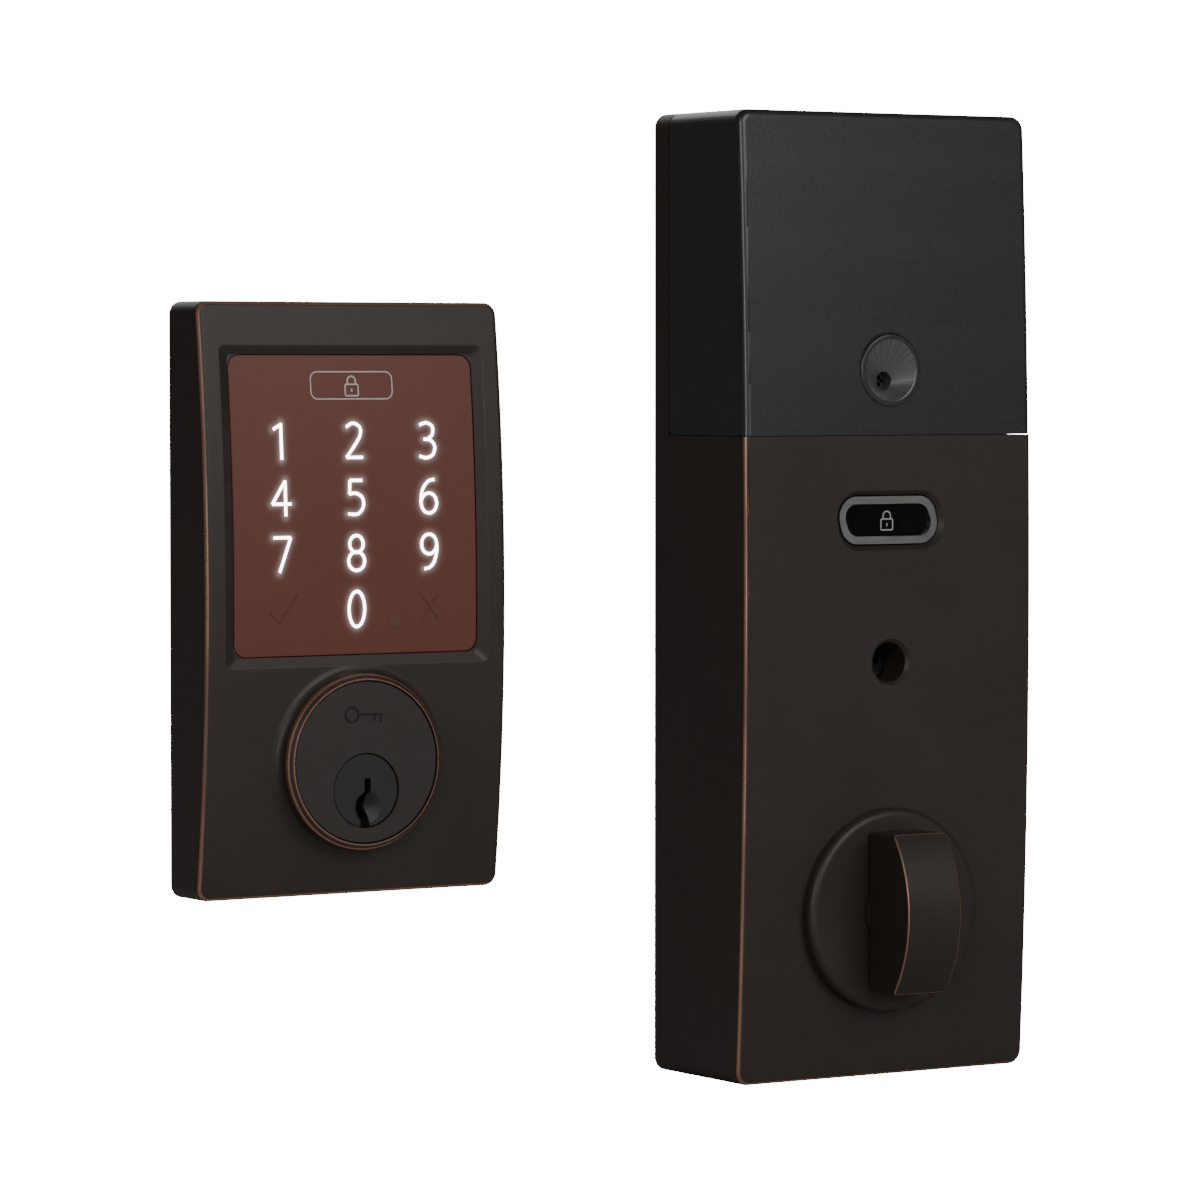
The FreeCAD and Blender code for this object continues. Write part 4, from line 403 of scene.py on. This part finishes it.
def glow_at(x, z):
    """Light at a point of the film from the nearest stroke, from 0 to 1."""
    cx, cz = round(x / SPREAD), round(z / SPREAD)
    close = [p for dx in (-1, 0, 1) for dz in (-1, 0, 1) for p in buckets.get((cx + dx, cz + dz), ())]
    if not close:
        return 0.0
    away = min((x - px) ** 2 + (z - pz) ** 2 for px, pz in close) ** 0.5
    return math.exp(-(max(0.0, away - STROKE_R) / HALO) ** 1.5)


verts, faces, glow = [], [], []
for j in range(rows + 1):
    z = pane_z[0] + EDGE + (pane_z[1] - pane_z[0] - 2 * EDGE) * j / rows
    inward = CORNER - min(CORNER, z - pane_z[0], pane_z[1] - z)
    cut = CORNER - math.sqrt(max(0.0, CORNER ** 2 - inward ** 2))
    half = (pane_x[1] - pane_x[0]) / 2 - EDGE - cut
    for i in range(columns + 1):
        x = pane_mid[0] + half * (2 * i / columns - 1)
        verts.append((x, pane_y(z) - FILM_T / 2, z))
        glow.append(glow_at(x, z))
for j in range(rows):
    for i in range(columns):
        first = j * (columns + 1) + i
        faces.append((first, first + 1, first + columns + 2, first + columns + 1))
film_mesh = bpy.data.meshes.new("screen_film")
film_mesh.from_pydata(verts, [], faces)
film_mesh.attributes.new("glow", "FLOAT", "POINT").data.foreach_set("value", glow)
for polygon in film_mesh.polygons:
    polygon.use_smooth = True
screen_film = bpy.data.objects.new("screen_film", film_mesh)
bpy.context.scene.collection.objects.link(screen_film)

SCREEN = (0.150, 0.048, 0.032)
SCREEN_LIGHT = (0.162, 0.052, 0.034)


def screen_finish(name, glowing):
    """Satin brown screen; the film's also glows round its digits."""
    material, tree, shader = finish(name, specular=0.35)
    tint = blend_colour(tree, fade(tree, grain(tree, 16.0, 2.0), 0.3, 0.7), SCREEN, SCREEN_LIGHT)
    feed(tree, shader.inputs["Base Color"], tint)
    feed(tree, shader.inputs["Roughness"], fade(tree, grain(tree, 1800.0, 2.0), 0.3, 0.7, 0.40, 0.46))
    if glowing:
        spill = add(tree, "ShaderNodeAttribute", attribute_name="glow")
        halo = calc(tree, "MULTIPLY", spill.outputs["Fac"], 0.17)
        halo_colour = blend_colour(tree, halo, (0.0, 0.0, 0.0), (1.0, 0.93, 0.9))
        feed(tree, shader.inputs["Emission Color"], halo_colour)
        shader.inputs["Emission Strength"].default_value = 1.0
    roughen(tree, shader, grain(tree, 1500.0, 2.0), 0.000006, 0.2)
    return material


film_mesh.materials.append(screen_finish("screen_print", True))
paint("touchscreen_lens", screen_finish("screen_tint", False))
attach(screen_film, "root")


# ---- Marks on the screen --------------------------------------------------------------
# Printed on the film: a grey plaque with a plain padlock, and the tick, cross and dot
# beside the zero. These three are unlit, so they barely differ from the screen.

def placed(strokes, centre, size):
    """Strokes of a mark drawn one unit high, brought to their size and place."""
    return [[(centre[0] + x * size, centre[1] + z * size) for x, z in stroke] for stroke in strokes]


def pill(half_w, half_h, corner, count=8):
    """Closed outline of a rounded rectangle."""
    outline = []
    for quarter, (sx, sz) in enumerate(((1, 1), (-1, 1), (-1, -1), (1, -1))):
        for i in range(count + 1):
            angle = math.pi / 2 * (quarter + i / count)
            outline.append((sx * (half_w - corner) + corner * math.cos(angle),
                            sz * (half_h - corner) + corner * math.sin(angle)))
    return outline + outline[:1]


def padlock():
    """Plain padlock: square body, half-round shackle, keyhole."""
    shackle = [(-0.24, 0.05), (-0.24, 0.22)]
    shackle += [(0.24 * math.cos(math.pi * (1 - i / 12)), 0.22 + 0.24 * math.sin(math.pi * i / 12))
                for i in range(1, 12)]
    shackle += [(0.24, 0.22), (0.24, 0.05)]
    body = [(x, z - 0.24) for x, z in pill(0.38, 0.29, 0.08)]
    return [shackle, body, [(0.0, -0.16), (0.0, -0.34)]]


def unlit(name, colour):
    """Print that has no light behind it."""
    material, tree, shader = finish(name, specular=0.35)
    shade = blend_colour(tree, grain(tree, 700.0), tuple(0.93 * part for part in colour), colour)
    feed(tree, shader.inputs["Base Color"], shade)
    shader.inputs["Roughness"].default_value = 0.45
    return material


grey_print = unlit("grey_print", (0.62, 0.55, 0.52))
faint_print = unlit("faint_print", (0.132, 0.045, 0.030))
PLAQUE_DOWN = 0.0064        # from the pane's top
PLAQUE_HALF_W = 0.0100
PLAQUE_LINE = 0.00016
PADLOCK_H = 0.0042
PADLOCK_LINE = 0.00019
plaque_at = (pane_mid[0], pane_z[1] - PLAQUE_DOWN)
stroke_piece("screen_plaque", placed([pill(1.0, 0.29, 0.16)], plaque_at, PLAQUE_HALF_W), PLAQUE_LINE,
             on_pane, "root", grey_print)
stroke_piece("screen_padlock", placed(padlock(), plaque_at, PADLOCK_H), PADLOCK_LINE,
             on_pane, "root", grey_print)
tick = [[(-0.42, -0.02), (-0.12, -0.38)], [(-0.12, -0.38), (0.48, 0.46)]]
cross = [[(-0.33, -0.42), (0.33, 0.42)], [(-0.33, 0.42), (0.33, -0.42)]]
TICK_H = 0.0074
CROSS_H = 0.0070
FAINT_LINE = 0.00022
stroke_piece("screen_tick", placed(tick, (pane_mid[0] - COLUMN, LAST_ROW), TICK_H), FAINT_LINE,
             on_pane, "root", faint_print)
stroke_piece("screen_cross", placed(cross, (pane_mid[0] + COLUMN, LAST_ROW), CROSS_H), FAINT_LINE,
             on_pane, "root", faint_print)
DOT_D = 0.0032
DOT_LINE = 0.0003
DOT_RIGHT = 0.0004          # of halfway to the next column
DOT_DOWN = 0.0026           # of the middle of the last row
dot_at = (pane_mid[0] + COLUMN / 2 + DOT_RIGHT, LAST_ROW - DOT_DOWN)
dot_rings = [loop(0.0, 0.0, share, share) for share in (0.1, 0.26, 0.42)]
stroke_piece("screen_dot", placed(dot_rings, dot_at, DOT_D), DOT_LINE,
             on_pane, "root", unlit("dot_print", (0.150, 0.066, 0.046)))


# ---- Key cylinder ---------------------------------------------------------------------
# Turned brass: a face plated dark bronze, lathe-brushed, and a black plug with its keyway.
# The plug turns in the body; a small key pictogram is stamped above it.

LATHE_RING = 0.00020944     # from one tool mark to the next


def turned(name, centre, colour, rough):
    """Finish with fine rings from the lathe round an axis along Y."""
    material, tree, shader = finish(name)
    x, _, z = position(tree)
    radius = off_axis(tree, x, z, centre)
    wobble = calc(tree, "MULTIPLY", grain(tree, 300.0), 0.0002)
    turns = calc(tree, "MULTIPLY", calc(tree, "ADD", radius, wobble), math.tau / LATHE_RING)
    rings = calc(tree, "SINE", turns)
    shade = blend_colour(tree, fade(tree, rings, -1.0, 1.0), colour, tuple(1.25 * part for part in colour))
    feed(tree, shader.inputs["Base Color"], shade)
    blur = fade(tree, grain(tree, 1200.0), 0.3, 0.7, rough - 0.05, rough + 0.05)
    feed(tree, shader.inputs["Roughness"], blur)
    roughen(tree, shader, rings, 0.000006, 0.25)
    return material


plug_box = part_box("cylinder_plug")
tail_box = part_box("tailpiece")  # it lies on the plug's axis
plug_axis = ((plug_box[0][0] + plug_box[1][0]) / 2, (tail_box[0][2] + tail_box[1][2]) / 2)
paint("cylinder_body", turned("cylinder_face", ring_axis, (0.0265, 0.0205, 0.0170), 0.5))
paint("cylinder_plug", turned("plug_face", plug_axis, (0.016, 0.0162, 0.0168), 0.46))
KEY_H = 0.0052
KEY_LINE = 0.00026
KEY_LEFT = 0.0003           # of the cylinder's axis
KEY_UP = 0.0102
face_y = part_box("cylinder_body")[0][1]
key_at = (ring_axis[0] - KEY_LEFT, ring_axis[1] + KEY_UP)
key_mark = [loop(-0.62, 0.0, 0.3, 0.3), [(-0.32, 0.0), (0.85, 0.0)], [(0.45, 0.0), (0.45, -0.26)],
            [(0.75, 0.0), (0.75, -0.34)]]
stroke_piece("cylinder_key_mark", placed(key_mark, key_at, KEY_H), KEY_LINE, lambda x, z: face_y,
             "root", unlit("stamped_mark", (0.011, 0.0095, 0.0085)))


# ---- Battery cover --------------------------------------------------------------------
# Black moulded cover with a fine woven texture eroded into its tool. The lead-in to its
# lock screw is turned smooth and shows brushed rays, painted into its colour as a lighter and darker radial
# sheen.

screw_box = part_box("cover_screw")
screw_axis = ((screw_box[0][0] + screw_box[1][0]) / 2, (screw_box[0][2] + screw_box[1][2]) / 2)
FUNNEL_R = 0.0069
FUNNEL_RISE = 0.0023        # of the lead-in's rim above its screw
FUNNEL_FADE = 0.0001
WEAVE = 0.0008              # from one thread to the next


def cover_finish():
    """Woven black, turning inside the lead-in to fine brushed rays with a painted radial sheen."""
    material, tree, shader = finish("cover_weave", specular=0.5)
    x, y, z = position(tree)
    pitch = math.tau / WEAVE
    warp = calc(tree, "SINE", calc(tree, "MULTIPLY", x, pitch))
    weft = calc(tree, "SINE", calc(tree, "MULTIPLY", z, pitch))
    depth = calc(tree, "SINE", calc(tree, "MULTIPLY", y, pitch))
    threads = calc(tree, "MAXIMUM", calc(tree, "MAXIMUM", warp, weft), depth)
    uneven = calc(tree, "MULTIPLY", grain(tree, 1500.0, 3.0), 1.6)
    weave = calc(tree, "ADD", calc(tree, "MULTIPLY", threads, 0.35), uneven)
    centre = (screw_axis[0], screw_axis[1] + FUNNEL_RISE)
    radius = off_axis(tree, x, z, centre)
    inside = fade(tree, radius, FUNNEL_R - FUNNEL_FADE, FUNNEL_R + FUNNEL_FADE, 1.0, 0.0)
    dx = calc(tree, "SUBTRACT", x, screw_axis[0])
    dz = calc(tree, "SUBTRACT", z, screw_axis[1])
    turn = calc(tree, "ARCTAN2", dz, dx)
    # Noise along the angle round the screw: it bumps the lead-in with ray marks and also paints its sheen.
    ray_marks_and_sheen = add(tree, "ShaderNodeTexNoise")
    ray_marks_and_sheen.noise_dimensions = "1D"
    ray_marks_and_sheen.inputs["Scale"].default_value = 26.0
    ray_marks_and_sheen.inputs["Detail"].default_value = 4.0
    tree.links.new(turn, ray_marks_and_sheen.inputs["W"])
    cloth = blend_colour(tree, fade(tree, weave, 0.3, 1.4),
                         (0.0130, 0.0150, 0.0157), (0.0265, 0.0280, 0.0288))
    # Painted sheen: the rays are painted as lighter and darker grey streaks that stand for the radial
    # highlights of the turned lead-in.
    brushed = blend_colour(tree, fade(tree, ray_marks_and_sheen.outputs["Fac"], 0.35, 0.65),
                           (0.08, 0.08, 0.08), (0.19, 0.19, 0.19))
    feed(tree, shader.inputs["Base Color"], blend_colour(tree, inside, cloth, brushed))
    smoother = calc(tree, "MULTIPLY", inside, 0.06)
    feed(tree, shader.inputs["Roughness"], calc(tree, "SUBTRACT", 0.34, smoother))
    feed(tree, shader.inputs["Metallic"], calc(tree, "MULTIPLY", inside, 0.5))
    shader.inputs["Coat Weight"].default_value = 0.45
    shader.inputs["Coat Roughness"].default_value = 0.24
    share = calc(tree, "SUBTRACT", 1.0, inside)
    height = calc(tree, "ADD", calc(tree, "MULTIPLY", weave, share),
                  calc(tree, "MULTIPLY", ray_marks_and_sheen.outputs["Fac"], inside))
    roughen(tree, shader, height, 0.00004, 0.4)
    return material


paint("battery_cover", cover_finish())


# ---- Inside case, rose and thumbturn --------------------------------------------------
# Zinc die castings in the same bronze finish as outside. The case is rubbed along its front
# rim, the rose pressed into it stays dark, and the thumbturn is rubbed round the edges that
# fingers turn it by.

inside_low, inside_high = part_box("interior_housing")
RUBBED_TO = -0.030          # hands reach no farther back than this Y
RUBBED_FADE = 0.002


def inside_wear(tree):
    """Rim of the case, on its front half only."""
    _, y, _ = position(tree)
    forward = fade(tree, y, RUBBED_TO, RUBBED_TO + RUBBED_FADE, 1.0, 0.0)
    return calc(tree, "MULTIPLY", rim_wear(tree, inside_low, inside_high), forward)


crown_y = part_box("thumbturn")[0][1]
BAR_DEEP = 0.010            # this far back from its crown, the thumbturn is all bar and no stem
BAR_BOW = 0.0066            # its front edges lie within this depth of the crown
BAR_FADE = 0.0006
TURN_EDGE = 0.00055         # how far the rubbing reaches from the bar's edges
bar_points = [v.co for v in nodes["thumbturn"].data.vertices if v.co.y < crown_y + BAR_DEEP]
bar_half_w = max(point.x for point in bar_points)
bar_half_l = max(point.z for point in bar_points)


def turn_wear(tree):
    """All four edges of the bar's curved front."""
    x, y, z = position(tree)
    across, forward, along = facing(tree)
    patchy = fade(tree, grain(tree, 60.0, 4.0), 0.25, 0.6, 0.45, 1.0)
    at_side = fade(tree, calc(tree, "ABSOLUTE", x), bar_half_w - TURN_EDGE, bar_half_w - TURN_EDGE / 2)
    at_end = fade(tree, calc(tree, "ABSOLUTE", z), bar_half_l - TURN_EDGE, bar_half_l - TURN_EDGE / 2)
    sides = calc(tree, "MULTIPLY", at_side, band(tree, across, 0.66, 0.42))
    ends = calc(tree, "MULTIPLY", at_end, band(tree, along, 0.84, 0.26))
    front = fade(tree, forward, 0.15, 0.35)
    bar = fade(tree, y, crown_y + BAR_BOW, crown_y + BAR_BOW + BAR_FADE, 1.0, 0.0)
    return calc(tree, "MULTIPLY", calc(tree, "MULTIPLY", calc(tree, "MAXIMUM", sides, ends), patchy),
                calc(tree, "MULTIPLY", front, bar))


paint("interior_housing", bronze("inside_bronze", inside_wear))
paint("thumbturn_rose", bronze("rose_bronze", lambda tree: calc(tree, "MULTIPLY", grain(tree, 50.0), 0.02)))
paint("thumbturn", bronze("turn_bronze", turn_wear))


# ---- Pairing button -------------------------------------------------------------------
# A satin plated ring pressed round a gloss black face that carries a printed padlock. The
# whole button moves in its pocket.

def satin_metal(name, colour, rough, scale=2200.0):
    """Brushed metal; scale is the fineness of its grain in cycles per metre."""
    material, tree, shader = finish(name, metallic=1.0)
    brushed = grain(tree, scale, 3.0, (0.08, 1.0, 1.0))
    feed(tree, shader.inputs["Base Color"],
         blend_colour(tree, brushed, tuple(0.85 * part for part in colour), colour))
    feed(tree, shader.inputs["Roughness"], fade(tree, brushed, 0.3, 0.7, rough - 0.06, rough + 0.06))
    roughen(tree, shader, brushed, 0.000008, 0.3)
    return material


def gloss_black():
    """Polished acrylic."""
    material, tree, shader = finish("button_gloss", specular=0.5)
    feed(tree, shader.inputs["Base Color"],
         blend_colour(tree, grain(tree, 400.0), (0.0025, 0.0025, 0.0025), (0.004, 0.004, 0.004)))
    feed(tree, shader.inputs["Roughness"], fade(tree, grain(tree, 120.0), 0.3, 0.7, 0.10, 0.16))
    return material


paint("button_ring", satin_metal("ring_satin", (0.36, 0.36, 0.355), 0.34))
paint("button_face", gloss_black())
button_low, button_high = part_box("button_ring")
button_mid = ((button_low[0] + button_high[0]) / 2, (button_low[2] + button_high[2]) / 2)
button_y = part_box("button_face")[0][1]
BUTTON_LINE = 0.00017
stroke_piece("button_padlock", placed(padlock(), button_mid, PADLOCK_H), BUTTON_LINE,
             lambda x, z: button_y, "pairing_button", unlit("button_print", (0.45, 0.45, 0.45)))


# ---- Metal inside the lock ------------------------------------------------------------
# Zinc-plated steel plates, screws, shafts and springs, turned brass posts, hub and pins,
# and two screws painted near-black as painted shade, so that their holes stay dark.

STEEL = ["keypad_back_plate", "back_plate_screws", "through_bolt_posts", "cylinder_screws", "tailpiece",
         "hub_screw", "motor_can", "gear_axles", "gearbox_front_plate", "gearbox_rear_plate",
         "support_plate", "top_fixing_screws", "battery_contacts", "pin_springs", "button_spring",
         "contact_springs"]
BRASS = ["board_standoffs", "chamber_cover", "key_pins", "driver_pins", "plug_cap", "spindle_hub",
         "motor_pinion", "gearbox_posts", "control_board_standoffs"]
zinc = satin_metal("zinc_plate", (0.56, 0.57, 0.58), 0.40, 600.0)
brass = satin_metal("turned_brass", (0.62, 0.43, 0.17), 0.34, 900.0)
for name in STEEL:
    paint(name, zinc)
for name in BRASS:
    paint(name, brass)
# Painted shade: the screws at the bottom of the access hole and of the lead-in are painted near-black so
# that their holes look shaded.
screws_painted_shade = satin_metal("screw_painted_shade", (0.05, 0.052, 0.055), 0.42)
paint("middle_fixing_screw", screws_painted_shade)
paint("cover_screw", screws_painted_shade)


# ---- Plastics, rubber and boards ------------------------------------------------------
# Nylon gears and bushes, black mouldings, the foam gasket and the two circuit boards with
# what is soldered on them.

def moulded(name, colour, rough, scale=1400.0, depth=0.00003):
    """Plain plastic or foam with pores of a given fineness and depth."""
    material, tree, shader = finish(name, specular=0.4)
    pores = grain(tree, scale, 4.0)
    deep, raised = ([share * part for part in colour] for share in (0.8, 1.15))
    feed(tree, shader.inputs["Base Color"], blend_colour(tree, pores, deep, raised))
    feed(tree, shader.inputs["Roughness"], fade(tree, pores, 0.3, 0.7, rough - 0.06, rough + 0.06))
    roughen(tree, shader, pores, depth, 0.4)
    return material


MOULDED = [
    (moulded("white_nylon", (0.68, 0.67, 0.62), 0.45),
     ["cable_header", "drive_gear", "reduction_gear_a", "reduction_gear_b", "hub_bushing", "cable_socket"]),
    (moulded("black_nylon", (0.018, 0.018, 0.018), 0.5), ["keypad_beeper", "siren", "battery_tray"]),
    (moulded("chip_black", (0.014, 0.014, 0.015), 0.42),
     ["touch_board_chips", "control_board_chips", "tact_switch", "position_switch"]),
    (moulded("gasket_foam", (0.017, 0.017, 0.017), 0.85, 2400.0, 0.00015), ["weather_gasket", "lens_seal"]),
    (moulded("clear_guide", (0.75, 0.75, 0.72), 0.3), ["light_guide"]),
    (moulded("lamp_body", (0.8, 0.78, 0.62), 0.3), ["backlight_leds"])]
for material, members in MOULDED:
    for name in members:
        paint(name, material)


TRACKS_X = 5200.0           # waves that space the tracks each way, in radians per metre
TRACKS_Z = 4100.0


def board_finish():
    """Green solder mask with faint copper tracks under it."""
    material, tree, shader = finish("board_green", specular=0.5)
    x, _, z = position(tree)
    across = calc(tree, "GREATER_THAN", calc(tree, "SINE", calc(tree, "MULTIPLY", x, TRACKS_X)), 0.55)
    down = calc(tree, "GREATER_THAN", calc(tree, "SINE", calc(tree, "MULTIPLY", z, TRACKS_Z)), 0.7)
    routed = fade(tree, grain(tree, 130.0, 1.0), 0.48, 0.52)
    tracks = calc(tree, "ADD", calc(tree, "MULTIPLY", across, routed),
                  calc(tree, "MULTIPLY", down, calc(tree, "SUBTRACT", 1.0, routed)), True)
    feed(tree, shader.inputs["Base Color"],
         blend_colour(tree, calc(tree, "MULTIPLY", tracks, 0.6), (0.006, 0.045, 0.02), (0.02, 0.13, 0.05)))
    shader.inputs["Roughness"].default_value = 0.32
    roughen(tree, shader, tracks, 0.00003, 0.4)
    return material


green = board_finish()
for name in ("touch_board", "control_board", "radio_module"):
    paint(name, green)


# ---- Batteries ------------------------------------------------------------------------
# Four alkaline cells held in the tray by spring contacts. Their printed sleeves have a
# copper-coloured band at one end and are black below.

cell_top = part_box("aa_cells")[1][2]
BAND_H = 0.0150             # of the copper-coloured band, with the cell's nub
BAND_FADE = 0.0002


def sleeve_finish():
    """Printed foil sleeve with the light running down its length."""
    material, tree, shader = finish("cell_sleeve", metallic=0.6, specular=0.5)
    _, _, z = position(tree)
    banded = fade(tree, z, cell_top - BAND_H - BAND_FADE, cell_top - BAND_H)
    sheen = grain(tree, 500.0, 2.0, (1.0, 1.0, 0.05))
    dark = blend_colour(tree, sheen, (0.012, 0.012, 0.014), (0.022, 0.022, 0.025))
    feed(tree, shader.inputs["Base Color"], blend_colour(tree, banded, dark, (0.55, 0.27, 0.12)))
    feed(tree, shader.inputs["Roughness"], fade(tree, sheen, 0.3, 0.7, 0.24, 0.34))
    return material


paint("aa_cells", sleeve_finish())


# ---- Studio ---------------------------------------------------------------------------
# Pale floor and white surround, a broad softbox in front, a narrow strip at the left that
# draws the rubbed edges, and a soft fill behind. The camera has a long lens.

low, high = (Vector(corner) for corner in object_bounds())
middle = (low + high) / 2
floor_mesh = bpy.data.meshes.new("floor")
FLOOR = 6.0                 # half its width
FLOOR_DROP = 0.0005         # it lies just clear of the lock
floor_z = low.z - FLOOR_DROP
floor_mesh.from_pydata([(-FLOOR, -FLOOR, floor_z), (FLOOR, -FLOOR, floor_z), (FLOOR, FLOOR, floor_z),
                        (-FLOOR, FLOOR, floor_z)], [], [(0, 1, 2, 3)])
floor = bpy.data.objects.new("floor", floor_mesh)
bpy.context.scene.collection.objects.link(floor)
pale, pale_tree, pale_shader = finish("floor_paint", specular=0.1)
feed(pale_tree, pale_shader.inputs["Base Color"],
     blend_colour(pale_tree, grain(pale_tree, 3.0), (0.60, 0.60, 0.60), (0.64, 0.64, 0.64)))
pale_shader.inputs["Roughness"].default_value = 0.9
pale_shader.inputs["Emission Color"].default_value = (1.0, 1.0, 1.0, 1.0)
PAPER = 17.0                # brightness of the white surround as the camera sees it
floor_seen = add(pale_tree, "ShaderNodeLightPath").outputs["Is Camera Ray"]
feed(pale_tree, pale_shader.inputs["Emission Strength"], calc(pale_tree, "MULTIPLY", floor_seen, PAPER))
floor_mesh.materials.append(pale)
floor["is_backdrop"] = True

world = bpy.data.worlds.new("surround")
bpy.context.scene.world = world
world.use_nodes = True
air = world.node_tree
seen = add(air, "ShaderNodeLightPath").outputs["Is Camera Ray"]
ROOM = 0.055                # what the lock is lit with by its surround
feed(air, air.nodes["Background"].inputs["Color"],
     blend_colour(air, seen, (ROOM, ROOM, ROOM), (PAPER, PAPER, PAPER)))
air.nodes["Background"].inputs["Strength"].default_value = 1.0


def softbox(name, azimuth, elevation, distance, size, power):
    """Flat lamp aimed at the object; azimuth 0 is straight in front."""
    lamp = bpy.data.lights.new(name, "AREA")
    lamp.shape = "RECTANGLE"
    lamp.size, lamp.size_y = size
    lamp.energy = power
    holder = bpy.data.objects.new(name, lamp)
    bpy.context.scene.collection.objects.link(holder)
    az, el = math.radians(azimuth), math.radians(elevation)
    aim = Vector((middle.x, 0.0, middle.z))
    holder.location = aim + distance * Vector((math.sin(az) * math.cos(el), -math.cos(az) * math.cos(el),
                                               math.sin(el)))
    holder.rotation_euler = (aim - holder.location).to_track_quat("-Z", "Y").to_euler()


softbox("front_softbox", 10, 24, 1.5, (1.05, 1.0), 9.2)
softbox("left_strip", -42, 8, 1.5, (0.12, 0.9), 5.0)
softbox("back_fill", 170, 30, 1.8, (1.2, 1.2), 6.0)

camera = bpy.data.cameras.new("camera")
camera.lens = 165.0
camera.sensor_width = 36.0
viewer = bpy.data.objects.new("camera", camera)
bpy.context.scene.collection.objects.link(viewer)
AZIMUTH = math.radians(-32.34)
ELEVATION = math.radians(2.43)
DISTANCE = 1.2276
AIM_RIGHT = 0.00795         # of the middle of the lock
AIM_DOWN = 0.001
target = Vector((middle.x + AIM_RIGHT, 0.0, middle.z - AIM_DOWN))
viewer.location = target + DISTANCE * Vector((math.sin(AZIMUTH) * math.cos(ELEVATION),
                                              -math.cos(AZIMUTH) * math.cos(ELEVATION),
                                              math.sin(ELEVATION)))
viewer.rotation_euler = (target - viewer.location).to_track_quat("-Z", "Y").to_euler()
bpy.context.scene.camera = viewer
